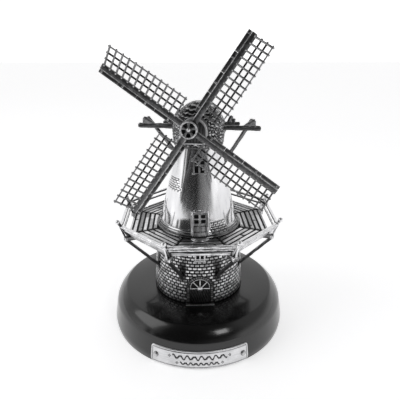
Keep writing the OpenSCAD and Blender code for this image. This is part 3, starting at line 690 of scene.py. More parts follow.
def fanlight():
    """The half-round light over the door: its dark pane, three rays, their arch and a boss."""
    pane = Shape()
    half, low = DOOR_W / 2 + 0.02, PLINTH_H + TRANSOM
    x = np.linspace(-half, half, 31)[None, :]
    top = SPRINGING + np.sqrt(np.clip(half ** 2 - x ** 2, 0.05, None))
    z = low + (top - low) * np.linspace(0, 1, 8)[:, None]
    faces = [around(np.arcsin(x / (base_r(z) + o)), base_r(z) + o, z) for o in (-0.75, -1.15)]
    pane.slab(*faces, 0.5)
    pane.piece("fanlight_dark", "mill", "fanlight_pane")

    bars = Shape()
    radius = DOOR_W / 2 - 0.35
    for k in range(1, 4):
        t = math.pi * k / 4
        end = (math.cos(t) * radius, SPRINGING - 0.2 + math.sin(t) * (radius - 0.2))
        wall_bar(bars, base_r, 0, (0, low + 0.4), end, 0.5, (-0.8, -0.15), (0.85, 1.0))
    arc = [(math.cos(t) * radius, SPRINGING + math.sin(t) * radius) for t in np.linspace(0, math.pi, 17)]
    arc = [(radius, low)] + arc + [(-radius, low)]
    for a, b in zip(arc, arc[1:]):
        wall_bar(bars, base_r, 0, a, b, 0.45, (-0.8, -0.1), (0.8, 1.0), 0.1)
    wall_bar(bars, base_r, 0, (-radius, low + 0.3), (radius, low + 0.3), 0.7, (-0.85, -0.2), (0.75, 1.0))
    boss = [(0.05, -0.1), (1.5, -0.1), (1.45, 0.35), (0.9, 0.7), (0.1, 0.8)]
    facing = spin("x", math.pi / 2)
    turned(bars, boss, (0, -float(base_r(low)) + 0.75, low + 0.35), 20, 0.95,
           move=lambda rings: rings @ facing.T)
    bars.piece("fanlight_rays", "mill", "fanlight_bars")


def threshold():
    """The doorstep: from a round back against the wall to a straight front, with a worn edge."""
    edge = np.linspace(-7.7, 7.7, 25)[None, :]
    back = -np.sqrt(26.0 ** 2 - edge ** 2)
    front = -(BASE_FOOT_R + 1.4) + 0 * edge
    faces = []
    for height, round_off in ((0.62, 0.12), (0.02, 0)):
        rows = [np.stack([edge, back + (front - back) * t, 0 * edge + PLINTH_H + height - drop], -1)
                for t, drop in ((0, 0), (0.5, 0), (0.95, 0), (1, round_off))]
        faces.append(np.concatenate(rows))
    shape = Shape()
    shape.slab(*faces, np.array([0.5, 0.7, 1.0, 0.9])[:, None])
    shape.piece("door_threshold", "mill", "door_step")


def base_windows():
    """Four small windows: a frame, a middle bar, a lower panel and a sill, over a dark pane."""
    frames, panes = Shape(), Shape()
    a = WINDOW_W / 2
    low, high = WINDOW_Z - WINDOW_H / 2, WINDOW_Z + WINDOW_H / 2
    for turn in WINDOW_TURNS:
        for p, q, width, top, worn in (
                ((-a + 0.4, high - 0.4), (a - 0.4, high - 0.4), 0.75, 0.2, 0.5),
                ((-a + 0.4, low), (-a + 0.4, high - 0.1), 0.75, 0.2, 0.5),
                ((a - 0.4, low), (a - 0.4, high - 0.1), 0.75, 0.2, 0.5),
                ((0, low), (0, high - 0.4), 0.55, 0.0, 0.6),
                ((-a + 0.3, low + 1.1), (a - 0.3, low + 1.1), 0.9, 0.1, 0.45),
                ((-a - 0.4, low + 0.2), (a + 0.4, low + 0.2), 0.6, 0.38, 0.5)):
            wall_bar(frames, base_r, turn, p, q, width, (-0.9, top), (worn, 1.0))
        wall_patch(panes, base_r, turn, a - 0.2, (low + 0.2, high - 0.3), (-1.15, -0.75))
    frames.piece("base_window_bars", "mill", "base_window_frames")
    panes.piece("base_window_dark", "mill", "base_window_panes")


# ------------------------------------------------------------------ stage

DECK_R, DECK_HOLE, BEAM_R, BEAM_W, BEAM_D = 40.5, 20.6, 43.0, 3.0, 2.4
BOARD_PITCH, FIRST_JOINT = 2.72, 22.4
POST_H, POST_LEAN, POST_OUT = 7.0, 4.1, 0.7


def post_r(h):
    """Radius of a post's middle at a height over the deck: it leans outwards at a constant rate."""
    return DECK_R + POST_OUT + POST_LEAN * h / POST_H


def corner(turn, r, z):
    """A point at a radius and height in a corner's plane."""
    return np.array([r * math.sin(turn), -r * math.cos(turn), z])


def deck():
    """An octagon of boards: the boards run around it in rows and meet in mitres at the corners."""
    outer, tan = DECK_R * math.cos(SIDE_TURN / 2), math.tan(SIDE_TURN / 2)
    between = np.arange(DECK_HOLE + 0.1, outer - 0.12, 0.155)
    apothem = np.concatenate([[DECK_HOLE], between, [outer - 0.1, outer]])[:, None]
    share = (np.arange(30) / 30)[None, :]
    across = apothem * tan * (2 * share - 1)
    to_mitre = apothem * tan - np.abs(across)
    row = np.floor((apothem - FIRST_JOINT) / BOARD_PITCH)
    off = apothem - FIRST_JOINT - row * BOARD_PITCH
    gap = smooth(1 - (np.minimum(off, BOARD_PITCH - off) - 0.36) / 0.2)
    mitre = smooth(1 - (to_mitre - 0.1) * math.cos(SIDE_TURN / 2) / 0.2)
    rows, wears_and_shades = [], []
    for side in range(8):
        cut = scatter(row, side, 3) * 16 - 8
        butt = smooth(1 - (np.abs(across - cut) - 0.05) / 0.18) * (apothem > 27) * 0.8
        dark = np.maximum(np.maximum(gap, mitre), butt)
        grain = ripple(apothem * 7, across * 0.35, row + 3 * side)
        tone = scatter(row, side, (across > cut) * 1.0)
        drop = 0.6 * dark + 0.06 * (1 - dark) * (0.5 - 0.5 * grain) + 0.05 * tone
        drop = drop + (apothem > outer - 0.05) * 0.15
        turn = side * SIDE_TURN
        x = apothem * math.sin(turn) + across * math.cos(turn)
        y = -apothem * math.cos(turn) + across * math.sin(turn)
        rows.append(np.stack([x, y, FLOOR - drop], -1))
        worn = 0.58 + 0.42 * tone + 0.2 * grain - 0.25 * smooth(1 - to_mitre / 2.2)
        wears_and_shades.append(np.clip((1 - dark) * worn, 0, 1))
    top, wear_and_shade = np.concatenate(rows, 1), np.concatenate(wears_and_shades, 1)
    low = top[::-1].copy()
    low[..., 2] = DECK_LOW + (FLOOR - low[..., 2]) * 0.6
    shape = Shape()
    shape.ring(np.concatenate([top, low]), np.concatenate([wear_and_shade, wear_and_shade[::-1] * 0.8]))
    shape.piece("deck_boards", "mill", "stage_deck", sharp=50)


def stage_timbers():
    """At each corner a beam with a thicker end, a brace on its pad, a post with its knob, and a strut."""
    beams, braces, posts, struts, knobs = Shape(), Shape(), Shape(), Shape(), Shape()
    knob = [(0.05, -0.4), (0.7, -0.4), (0.8, 0.0), (1.2, 0.25), (1.34, 0.8), (1.22, 1.4), (0.8, 1.9),
            (0.1, 2.1)]
    knob_wear = np.array([0.1, 0.2, 0.4, 0.8, 0.95, 1.0, 1.0, 0.9])
    mid = DECK_LOW - BEAM_D / 2
    foot = PLINTH_H + 15.8
    wall = float(base_r(foot))
    for k, turn in enumerate(CORNERS):
        aside = np.array([math.cos(turn), math.sin(turn), 0])
        end = corner(turn, BEAM_R - 0.02, mid)
        # The faces values give each side of these timbers painted light or shade, by how light falls on it.
        bar(beams, corner(turn, 22.2, mid), end, (BEAM_W - 0.1, BEAM_D - 0.06), 0.35, steps=9,
            rough=0.05, seed=k + 1.0, across=aside, faces=(0.4, 0.7, 0.4, 0.25))
        bar(beams, corner(turn, BEAM_R - 2.2, mid), end, (BEAM_W + 0.3, BEAM_D + 0.05), 0.5, steps=3,
            rough=0.03, seed=k + 1.0, across=aside, faces=(0.5, 1.0, 0.7, 0.3), tip=1.0)
        bar(braces, corner(turn, wall - 0.7, foot - 0.6), corner(turn, BEAM_R - 1.4, DECK_LOW - 2.1),
            (2.0, 1.8), 0.4, steps=24, rough=0.12, seed=k + 3.0, across=aside, face=3,
            faces=(0.25, 0.7, 0.3, 0.25))
        bar(braces, corner(turn, wall - 0.5, foot - 1.5), corner(turn, wall + 0.5, foot + 1.2),
            (3.0, 1.5), 0.3, (0.25, 0.45), seed=k + 3.0, across=aside)
        bar(posts, corner(turn, post_r(-2.0), FLOOR - 2.0), corner(turn, post_r(POST_H), FLOOR + POST_H),
            (2.05, 1.75), 0.4, steps=5, rough=0.04, seed=k + 5.0, across=aside,
            faces=(0.2, 0.85, 0.8, 1.0))
        lean = spin("z", turn) @ spin("x", math.atan2(POST_LEAN, POST_H))
        turned(knobs, knob, corner(turn, post_r(POST_H), FLOOR + POST_H), 18, knob_wear,
               move=lambda rings, t=lean: rings @ t.T)
        strut_head = corner(turn, post_r(5.4) + 0.4, FLOOR + 5.2)
        bar(struts, corner(turn, BEAM_R - 0.7, DECK_LOW - 0.6), strut_head, (1.1, 1.1), 0.3, steps=4,
            rough=0.03, seed=k + 7.0, across=aside, faces=(0.2, 0.5, 0.7, 0.95))
    beams.piece("stage_beam_timbers", "mill", "stage_beams")
    braces.piece("stage_brace_timbers", "mill", "stage_braces")
    posts.piece("post_timbers", "mill", "rail_posts")
    struts.piece("strut_timbers", "mill", "post_struts")
    knobs.piece("post_knobs", "mill", "post_caps")


def rails():
    """The middle and the top rails, one length from post to post, a little uneven."""
    for name, node, height, width, thick in (("mid_rail_timbers", "mid_rails", 2.9, 1.15, 1.1),
                                             ("top_rail_timbers", "top_rails", 5.2, 2.0, 1.35)):
        shape = Shape()
        for k, turn in enumerate(CORNERS):
            a, b = (corner(t, post_r(height), FLOOR + height) for t in (turn, turn + SIDE_TURN))
            inset = (b - a) / np.linalg.norm(b - a) * 0.35
            # faces: painted light on the rail's top and outer side, painted shade beneath and on its inner
            # side.
            bar(shape, a + inset, b - inset, (width, thick), min(width, thick) * 0.3, steps=36,
                rough=0.07, seed=k + height, face=3, faces=(0.15, 1.0, 0.8, 0.1))
        shape.piece(name, "mill", node)


# ------------------------------------------------------------------ tower

STAGE_DOOR_W, STAGE_DOOR_TOP = 9.2, TOWER_LOW + 12.4
UPPER_W, UPPER_LOW, UPPER_HIGH = 6.4, FLOOR + 32.2, FLOOR + 39.4
TOWER_BRICK_L, TOWER_BRICK_H = 2.45, 1.15
# Patches of engraved bricks: middle and half width in degrees around the tower, lowest and highest point
PATCHES = (
    (-58, 21, 81.8, 89.0),
    (27.5, 16, 61.6, 67.9),
    (150, 18, 70.0, 77.0),
    (-140, 12, 86.0, 91.5),
)


def torn_patch(turn, z, middle, half, z0, z1):
    """A patch of bricks cut into the metal: 1 inside, 0 outside, with a stepped, broken edge."""
    step = np.floor((z - z0) / TOWER_BRICK_H)
    reach = half * (0.72 + 0.36 * scatter(step, middle))
    drift = 0.2 * half * (scatter(step, middle, 8) - 0.5)
    side = np.where(turn - middle > drift, 1.0, 0.86)
    inside = smooth((reach * side - np.abs(turn - middle - drift)) / 0.02)
    return inside * smooth((z - z0) / 0.1) * smooth((z1 - z) / 0.1)


def tower_holes(turn, z):
    """1 behind the doors and windows, front and rear, 0 on the wall, and a steep slope between."""
    hole = np.zeros(np.broadcast(turn, z).shape)
    openings = ((STAGE_DOOR_W, TOWER_LOW - 1, STAGE_DOOR_TOP), (UPPER_W, UPPER_LOW + 0.5, UPPER_HIGH))
    for middle in (0, math.pi):
        x = np.abs(tower_r(z) * np.sin(turn - middle))
        for width, low, high in openings:
            away = np.maximum(x - width / 2 + 0.5, np.maximum(low - z, z - high + 0.5))
            away = np.where(np.cos(turn - middle) > 0, away, FAR)
            hole = np.maximum(hole, smooth(0.5 - away / 0.25))
    return hole


def tower():
    """The polished shell: plain but for broken patches of engraved bricks and two rounded rings."""
    count, rows = 576, 168
    turn = np.linspace(-math.pi, math.pi, count, endpoint=False)[None, :]
    z = np.linspace(TOWER_LOW, TOWER_TOP, rows)[:, None]
    radius = tower_r(z)
    lift = 0 * turn + 0 * z
    wear_and_shade = lift + 1
    for middle, half, z0, z1 in PATCHES:
        middle, half = math.radians(middle), math.radians(half)
        along, up = (turn - middle) * radius, z - z0 + 0 * turn
        brick, tone = courses(along, up, TOWER_BRICK_L, TOWER_BRICK_H, 0.3, 0.14)
        mortar = torn_patch(turn, z + 0 * turn, middle, half, z0, z1) * (1 - brick)
        lift = lift - 0.16 * mortar
        wear_and_shade = wear_and_shade - mortar * (0.85 + 0.15 * tone)
    for height, size in ((TOWER_LOW + 0.9, 0.16), (TOWER_LOW + 2.0, 0.1)):
        ridge = np.exp(-((z - height) / 0.28) ** 2)
        groove = np.exp(-((z - height - 0.5) / 0.2) ** 2)
        lift = lift + size * (ridge - 1.2 * groove)
        wear_and_shade = wear_and_shade - 0.35 * groove
    # Painted shade at the foot, for the deck's shadow and dark reflection: darker towards the deck.
    foot = smooth((TOWER_LOW + 2.6 - z) / 2.4)
    wear_and_shade = wear_and_shade - 0.55 * foot - 0.25 * smooth((TOWER_LOW + 5.5 - z) / 3.5)
    wear_and_shade = wear_and_shade - 0.1 * foot * ripple(turn * 9, z * 2, 3)
    hole = tower_holes(turn, z)
    lift = lift * (1 - hole) - 0.95 * hole
    outer = around(turn, radius + lift, z)
    inner = around(turn, taper_r(z) - 1.2, z)[::-1]
    wear_and_shade = np.clip(wear_and_shade * (1 - hole), 0, 1)
    shape = Shape()
    shape.ring(np.concatenate([outer, inner[[0, -1]]]), np.concatenate([wear_and_shade, np.full((2, count), 0.3)]))
    shape.piece("tower_shell", "mill", "tower_body", sharp=70)


FOOT_RING_R = float(tower_r(FLOOR)) + 0.2


def foot_ring():
    """A low moulding around the tower's foot, dark with painted shade, most in its corner with the deck."""
    r = FOOT_RING_R
    profile = [(r - 2.0, 0), (r - 0.15, 0), (r, 0.2), (r, 0.75), (r - 0.25, 1.05), (r - 2.0, 1.1)]
    turn = np.linspace(-math.pi, math.pi, 120, endpoint=False)
    shape = Shape()
    # Painted shade: low values all over the ring.
    shape.ring(np.stack([around(turn, a, FLOOR + b) for a, b in profile]),
               np.array([0.05, 0.1, 0.2, 0.3, 0.15, 0.05])[:, None])
    shape.piece("foot_ring_turned", "mill", "foot_ring", sharp=50)


def crescent_steps():
    """Two crescents on each other before each stage door: a round front, and a back along the ring."""
    r = FOOT_RING_R
    shape = Shape()
    t = np.linspace(0.36, math.pi - 0.36, 31)
    for flip in (0, math.pi):
        for reach, low, high in ((5.15, 0.02, 0.42), (4.3, 0.3, 0.7)):
            arc = np.stack([reach * np.cos(t), -(r - 2) - reach * np.sin(t)], -1)
            x = np.linspace(arc[-1, 0], arc[0, 0], 21)
            back = np.stack([x, -np.sqrt((r - 0.1) ** 2 - x ** 2)], -1)
            flat = np.concatenate([arc, back])
            middle = flat.mean(0)
            levels = []
            for size, height in ((0.97, low), (1.0, low + 0.08), (0.99, high - 0.14),
                                 (0.965, high - 0.03), (0.92, high)):
                p = (middle + (flat - middle) * size) @ spin("z", flip)[:2, :2].T
                levels.append(np.column_stack([p, np.full(len(p), FLOOR + height)]))
            shape.loft(np.stack(levels), np.array([0.5, 0.9, 1.0, 1.0, 0.9])[:, None])
    shape.piece("crescent_steps_worn", "mill", "crescent_steps", sharp=50)


def stage_door_relief(x, z):
    """Two columns, each with two panes sunk 0.4 mm over a panel that stands 0.1 mm in its groove."""
    u = np.abs(np.abs(x) - 1.8)
    down = STAGE_DOOR_TOP - z
    panes = sum(smooth((1.05 - np.abs(down - middle)) / 0.45) for middle in (2.8, 5.4))
    pane = smooth((1.35 - u) / 0.45) * panes
    panel = smooth((1.3 - u) / 0.2) * smooth((1.3 - np.abs(down - 9.1)) / 0.2)
    groove = smooth((1.55 - u) / 0.15) * smooth((1.6 - np.abs(down - 9.1)) / 0.15)
    return -0.4 * pane - 0.2 * groove + 0.3 * panel


def stage_door_wear_and_shade(x, z):
    """Bright on the rails and stiles, black in the panes, and painted shade along the leaf's rim."""
    relief = stage_door_relief(x, z)
    # Painted shade along the rim, in the leaf's recess under the frame.
    rim = np.maximum(smooth((np.abs(x) - 3.25) / 0.25), smooth((z - STAGE_DOOR_TOP + 1.65) / 0.25))
    worn = 1.0 + relief * 2.8 - 0.2 * (relief > 0.05) - 0.8 * rim
    return np.clip(worn + 0.05 * ripple(x * 6, z * 3, 3), 0, 1)


def stage_doors():
    """The doors on the stage, front and rear: a bold frame, a thin dark one in it, the leaf and a crest."""
    frames, leaves = Shape(), Shape()
    low, top, half = TOWER_LOW + 0.1, STAGE_DOOR_TOP, STAGE_DOOR_W / 2
    rim, inner = half - 0.45, half - 1.2
    for turn in (0, math.pi):
        for a, b in (((-rim, low), (-rim, top - 0.2)), ((rim, low), (rim, top - 0.2)),
                     ((-half - 0.25, top - 0.35), (half + 0.25, top - 0.35))):
            wall_bar(frames, tower_r, turn, a, b, 1.05, (-0.7, 0.5), (1.0, 1.0), 0.4)
        for a, b in (((-inner, low), (-inner, top - 1.0)), ((inner, low), (inner, top - 1.0)),
                     ((-inner, top - 1.1), (inner, top - 1.1))):
            wall_bar(frames, tower_r, turn, a, b, 0.4, (-0.8, 0.1), (0.55, 1.0))
        for x, size in ((-3.0, 0.5), (-1.4, 0.42), (0, 0.75), (1.4, 0.42), (3.0, 0.5)):
            r = float(tower_r(top + 0.3))
            turned(frames, ball(size, 0.8), around(turn + x / r, r + 0.05, top + 0.2 + size * 0.5), 10, 0.9)
        wall_patch(leaves, tower_r, turn, half - 0.55, (TOWER_LOW + 0.02, top - 0.5), (-0.98, -0.45),
                   (61, 81), stage_door_wear_and_shade, stage_door_relief)
    frames.piece("stage_door_mouldings", "mill", "stage_door_frames")
    leaves.piece("stage_door_panels", "mill", "stage_door_leaves", sharp=60)


def upper_windows():
    """The windows under the cap, front and rear: dark bars and a sill over black panes."""
    frames, panes = Shape(), Shape()
    a, low, high = UPPER_W / 2, UPPER_LOW, UPPER_HIGH
    for turn in (0, math.pi):
        for p, q in (((-a + 0.4, low), (-a + 0.4, high)), ((a - 0.4, low), (a - 0.4, high)),
                     ((-a, high - 0.4), (a, high - 0.4)), ((0, low), (0, high)),
                     ((-a, low + 4.3), (a, low + 4.3))):
            wall_bar(frames, tower_r, turn, p, q, 0.8, (-0.8, 0.3), (0.28, 0.6))
        wall_bar(frames, tower_r, turn, (-a - 0.6, low + 0.1), (a + 0.6, low + 0.1), 0.9,
                 (-0.7, 0.42), (0.3, 0.8))
        wall_patch(panes, tower_r, turn, a - 0.3, (low + 0.2, high - 0.3), (-0.98, -0.55))
    frames.piece("tower_window_bars", "mill", "tower_window_frames")
    panes.piece("tower_window_dark", "mill", "tower_window_panes")


# ------------------------------------------------------------------ cap

CAP_R, SKIRT_R, CAP_BACK = 13.6, 12.9, 4.5
SKIRT, BELLY, CROWN = TOWER_TOP - 1.5, TOWER_TOP + 5.8, TOWER_TOP + 20
NOSE_W, NOSE_REACH, NOSE_TOP, NOSE_LOW = 6.7, 17.0, TOWER_TOP + 14.6, TOWER_TOP + 1.8
BEAM_Z = TOWER_TOP + 7.2
COURSE_H, RIDGE_PITCH = 2.05, 1.75


def on_cap(points):
    """From the cap's own axes, its front towards -Y, to the mill's."""
    return np.asarray(points, float) @ spin("z", -CAP_TURN).T


def nose_outline(half, low, top):
    """The nose's outline: upright sides under a half circle."""
    t = np.linspace(0, math.pi, 33)
    curve = np.stack([half * np.cos(t), top - half + half * np.sin(t)], -1)
    sides = np.stack([np.full(9, -half), np.linspace(top - half, low, 9)], -1)[1:]
    floor = np.stack([np.linspace(-half, half, 9), np.full(9, low)], -1)[1:]
    return np.concatenate([curve, sides, floor, (sides * [-1, 1])[::-1][1:]])


def add_dome(shape):
    """The dome: a quarter sine from skirt to belly, then an ellipse to the crown, its rear half set back.

    Its sides are cobbled in lumpy courses, and level ridges cross it over the nose.
    """
    count = 300
    lower = np.linspace(0, 1, 22)
    upper = np.linspace(0.02, math.pi / 2 - 0.03, 96)
    r = np.concatenate([SKIRT_R + (CAP_R - SKIRT_R) * np.sin(lower * math.pi / 2), CAP_R * np.cos(upper)])
    z = np.concatenate([SKIRT + (BELLY - SKIRT) * lower, BELLY + (CROWN - BELLY) * np.sin(upper)])
    r, z = r[:, None], z[:, None]
    turn = np.linspace(-math.pi, math.pi, count, endpoint=False)[None, :]
    shift = CAP_BACK * smooth(0.5 - np.cos(turn) / 0.2)

    along = turn * 14 + shift * np.sign(turn)
    path = z - SKIRT + 6 * np.clip((z - BELLY) / (CROWN - BELLY), 0, 1) ** 3
    lump = 0.9 * ripple(along * 1.3, path * 1.7, 2) + 0.9 * ripple(along * 2.9, path * 2.8, 9)
    course = np.abs(((path + 0.25 * ripple(along * 0.8, path, 5)) / COURSE_H) % 1 - 0.5) * 2
    joint = smooth(1 - (1 - course) / 0.4)
    warp = 0.44 * ripple(along * 1.1, path * 1.2, 6)
    knob, tone = cobbles(along + warp, path - warp, 1.5)
    side_lift = 0.14 * lump + 0.34 * knob - 0.1 * joint - 0.4
    side_wear = 0.1 + 0.16 * lump + knob * (0.4 + 0.5 * tone) - 0.1 * joint

    height = z - 1.6 * (1 - np.cos(turn * 1.2)) + 0.3 * ripple(along * 0.9, z * 0.6, 8)
    phase = ((height - NOSE_TOP) / RIDGE_PITCH + 0.3) % 1
    ridge = smooth(1 - np.abs(phase - 0.62) / 0.34)
    front = smooth((math.radians(44) - np.abs(turn)) / 0.15)
    front = front * smooth((z - NOSE_TOP + 2.2) / 0.6) * smooth((CROWN - 0.25 - z) / 0.3)
    hem = np.exp(-((z - SKIRT - 0.5) / 0.5) ** 2)
    lift = side_lift * (1 - front) + (-0.7 + 0.95 * ridge + 0.06 * lump) * front
    lift = (lift * (1 - hem) + 0.05 * hem) * smooth((r - 0.3) / 2.5)
    wear_and_shade = side_wear * (1 - front) + ridge * (0.75 + 0.12 * lump) * front
    wear_and_shade = np.clip(wear_and_shade * (1 - hem) + 0.4 * hem, 0, 1)
    outer = around(turn, np.maximum(r + lift, 0.05), z)
    outer[..., 1] += shift

    hollow = np.array([
        (0.05, CROWN - 0.9), (8, CROWN - 3.2), (12.6, BELLY + 5), (12.9, BELLY), (12.1, SKIRT)])
    inner = around(turn, hollow[:, :1], hollow[:, 1:])
    inner[..., 1] += shift * smooth((hollow[:, 1:] - SKIRT) / 2)
    shape.loft(on_cap(np.concatenate([inner, outer])),
               np.concatenate([np.full((len(hollow), count), 0.1), wear_and_shade]))


def add_nose(shape):
    """The tunnel at the cap's front: its outline carried out to a rounded lip and back inside."""
    rings, wears_and_shades = [], []
    for inset, reach, rub in ((0, 7, 0.3), (0, 13.4, 0.35), (0.1, 14.6, 0.4), (0.3, 15.3, 0.15),
                              (0.3, 15.6, 0.15), (0, 15.8, 0.6), (0, 16.8, 0.7), (0.25, NOSE_REACH, 0.8),
                              (0.85, NOSE_REACH, 0.65), (1, 16.8, 0.3), (1, 7, 0.1)):
        flat = nose_outline(NOSE_W - inset, NOSE_LOW + inset, NOSE_TOP - inset)
        rings.append(np.column_stack([flat[:, 0], np.full(len(flat), -reach), flat[:, 1]]))
        wears_and_shades.append(np.full(len(flat), rub))
    shape.ring(on_cap(np.stack(rings)), np.stack(wears_and_shades))


def cap():
    """The roof, the boarded front in its nose, and the ring it turns on."""
    roof = Shape()
    add_dome(roof)
    add_nose(roof)
    roof.piece("cap_roof", "cap", "cap_body", sharp=75)

    front = Shape()
    x = np.linspace(-NOSE_W + 0.9, NOSE_W - 0.9, 61)[None, :]
    low = NOSE_LOW + 0.9
    top = NOSE_TOP - NOSE_W + np.sqrt(np.clip((NOSE_W - 0.88) ** 2 - x ** 2, 0.02, None))
    z = low + (top - low) * np.linspace(0, 1, 25)[:, None]
    joint = smooth(1 - np.abs((x / 1.5 + 0.5) % 1 - 0.5) * 1.5 / 0.22)
    sink = 0.25 * joint + 0.05 * (1 + ripple(x * 8, z * 0.7, 6))
    outer, inner = (np.stack([x + 0 * z, y, z], -1) for y in (-16.75 + sink, -16.05 + 0 * z))
    front.slab(on_cap(outer), on_cap(inner), np.clip(0.4 - 0.35 * joint + 0.1 * ripple(x * 6, z, 2), 0, 1))
    front.piece("cap_front_boards", "cap", "cap_front")

    curb = Shape()
    profile = ((10.2, 0.25), (12.0, 0.25), (12.05, 0.85), (12.0, 1.45), (10.2, 1.45))
    turn = np.linspace(-math.pi, math.pi, 96, endpoint=False)
    curb.ring(np.stack([around(turn, a, TOWER_TOP + b) for a, b in profile]), 0.7)
    curb.piece("cap_curb_ring", "cap", "cap_curb", sharp=50)


# ------------------------------------------------------------------ tail frame

LONG_HALF, LONG_T, SHORT_HALF, SHORT_T, SHORT_BACK = 32.0, 2.7, 21.0, 2.3, 10.5
TAIL_HEAD = np.array([0, CAP_BACK + CAP_R - 3, TOWER_TOP + 3.0])
TAIL_FOOT = np.array([0, DECK_R - 6, FLOOR + 6.2])


def timber(shape, p, q, steps, rough, seed):
    """A rough round-edged brace or pole of the tail frame."""
    bar(shape, p, q, (2.0, 2.0), 0.5, (0.5, 0.8), steps, rough, seed, corner=4, face=2, move=on_cap)


def add_cheek(shape, side, half, y, low):
    """The lump that holds a long brace on its beam: a flat outline, swollen in the middle."""
    flat = np.array([
        (half - 9.2, 0), (half - 2.6, 0), (half - 2.9, 2.6), (half - 3.4, 3.5),
        (half - 4.6, 3.4), (half - 6.6, 2.0)]) + (0, low)
    middle = flat.mean(0)
    share = np.linspace(0, 1, 6, endpoint=False)[:, None]
    fine = np.concatenate([a + (b - a) * share for a, b in zip(flat, np.roll(flat, -1, 0))])
    rings, wears_and_shades = [], []
    for across, size, worn in ((y - 1.15, 0.8, 0.7), (y - 0.95, 1.0, 0.75), (y - 0.1, 1.03, 0.35),
                               (y + 0.9, 1.0, 0.7), (y + 1.1, 0.8, 0.6)):
        p = middle + (fine - middle) * size
        uneven = [ripple(p[:, 1] * 2, across, 3), ripple(p[:, 0] * 2, across, 5)]
        p = p + 0.12 * np.stack(uneven, -1)
        rings.append(np.column_stack([side * p[:, 0], np.full(len(p), across), p[:, 1]]))
        wears_and_shades.append(worn + 0.15 * ripple(p[:, 0] * 3, p[:, 1] * 3, across))
    shape.loft(on_cap(np.stack(rings)), np.clip(np.stack(wears_and_shades), 0, 1))


def tail_frame():
    """Rough cast timbers: two beams through the cap, their braces, and the tail pole."""
    for name, node, half, thick, y, seed in (
            ("long_timber", "long_beam", LONG_HALF, LONG_T, 0, 3.0),
            ("short_timber", "short_beam", SHORT_HALF, SHORT_T, SHORT_BACK, 6.0)):
        shape = Shape()
        bar(shape, (-half + 0.03, y, BEAM_Z), (half - 0.03, y, BEAM_Z), (thick, thick), 0.75,
            (0.42, 0.62), 52, 0.22, seed, corner=4, face=3, move=on_cap)
        if node == "short_beam":
            for x, high, grain_seed in ((half - 3.6, 2.9, 4), (3.6 - half, 2.6, 5)):
                bar(shape, (x, y, BEAM_Z + 0.4), (x, y, BEAM_Z + high), (2.3, 2.0), 0.5, (0.35, 0.7),
                    3, 0.1, grain_seed, across=(1, 0, 0), move=on_cap)
        shape.piece(name, "cap", node, sharp=60)
    for name, node, half, thick, y, share in (
            ("long_brace_timbers", "long_braces", LONG_HALF, LONG_T, 0, 0.97),
            ("short_brace_timbers", "short_braces", SHORT_HALF, SHORT_T, SHORT_BACK, 0.55)):
        shape = Shape()
        meet = TAIL_HEAD + (TAIL_FOOT - TAIL_HEAD) * share
        for side in (-1, 1):
            head = (side * (half - 4.6), y + thick / 2 + 1.24, BEAM_Z + thick / 2 + 2.6)
            timber(shape, head, meet + (side * 0.75, 0, 0), 30, 0.1, half + side)
            if node == "long_braces":
                add_cheek(shape, side, half, y, BEAM_Z + thick / 2 - 0.35)
        shape.piece(name, "cap", node, sharp=60)
    pole = Shape()
    timber(pole, TAIL_HEAD - (TAIL_FOOT - TAIL_HEAD) * 0.02, TAIL_FOOT, 40, 0.09, 9)
    pole.piece("tail_timber", "cap", "tail_pole", sharp=60)


# ------------------------------------------------------------------ sails

SAIL_REACH, SAIL_LEN, SAIL_TURN = 27.3, 48.0, 11.1
STOCK_W, STOCK_T, BOARD_START, BOARD_W = 2.75, 2.0, 8.0, 1.75
BARS, LATTICE_START, LATTICE_LEN = 13, 8.9, 37.9
COLLAR_AT = SAIL_REACH + 1  # measured along the shaft, as SAIL_REACH is
SQUARE = {"across": (0, 1, 0), "corner": 2, "face": 0}  # a thin bar with plain bevels, flat to the sail


def on_shaft(points):
    """From the shaft's own axes, -Y running out along it, to the mill's."""
    return on_cap(np.asarray(points, float) @ spin("x", -TILT).T + SHAFT_AT)


def on_sail(i):
    """The move from a sail's own axes to the mill's: X out along it, its lattice on the -Z side."""
    turn = spin("y", -math.radians(45 + SAIL_TURN + 90 * i))
    return lambda points: on_shaft((np.asarray(points, float) + (0, -SAIL_REACH, 0)) @ turn.T)


def lattice_point(x, w, lift):
    """A point of the lattice: reach w from the hub's line on a slant from 10 to 31 degrees."""
    slant = math.radians(10 + 21 * (x - LATTICE_START) / LATTICE_LEN)
    return np.array([x, -w * math.sin(slant) - lift, -w * math.cos(slant)])


def rail_reach(x):
    """Reach of the lattice's outer rail: 10.2 mm by the hub and 11 mm at the tip."""
    return 10.2 + 0.8 * (x - LATTICE_START) / LATTICE_LEN


def stocks():
    """Two stocks, each from tip to tip over two sails, with a bright arris and a fainter one."""
    for node, first in (("stock_a", 1), ("stock_b", 0)):
        shape = Shape()
        for k in (first, first + 2):
            move = on_sail(k)
            bar(shape, (0.2, 0, 0), (SAIL_LEN - 0.02, 0, 0), (STOCK_T - 0.06, STOCK_W - 0.04), 0.28,
                (0.56, 0.62), 30, 0.03, k + 2.0, across=(0, 1, 0), move=move)
            for y, z, end, size, bevel, rub in (
                    (0.02, STOCK_W / 2 - 0.2, 0.4, (0.3, 0.34), 0.1, (0.86, 0.95)),
                    (0.05, 0.15 - STOCK_W / 2, 0.6, (0.2, 0.26), 0.08, (0.6, 0.75))):
                y = y - STOCK_T / 2
                bar(shape, (4.4, y, z), (SAIL_LEN - end, y, z), size, bevel, rub, move=move, **SQUARE)
        shape.piece(node + "_worn", "sails", node, sharp=60)


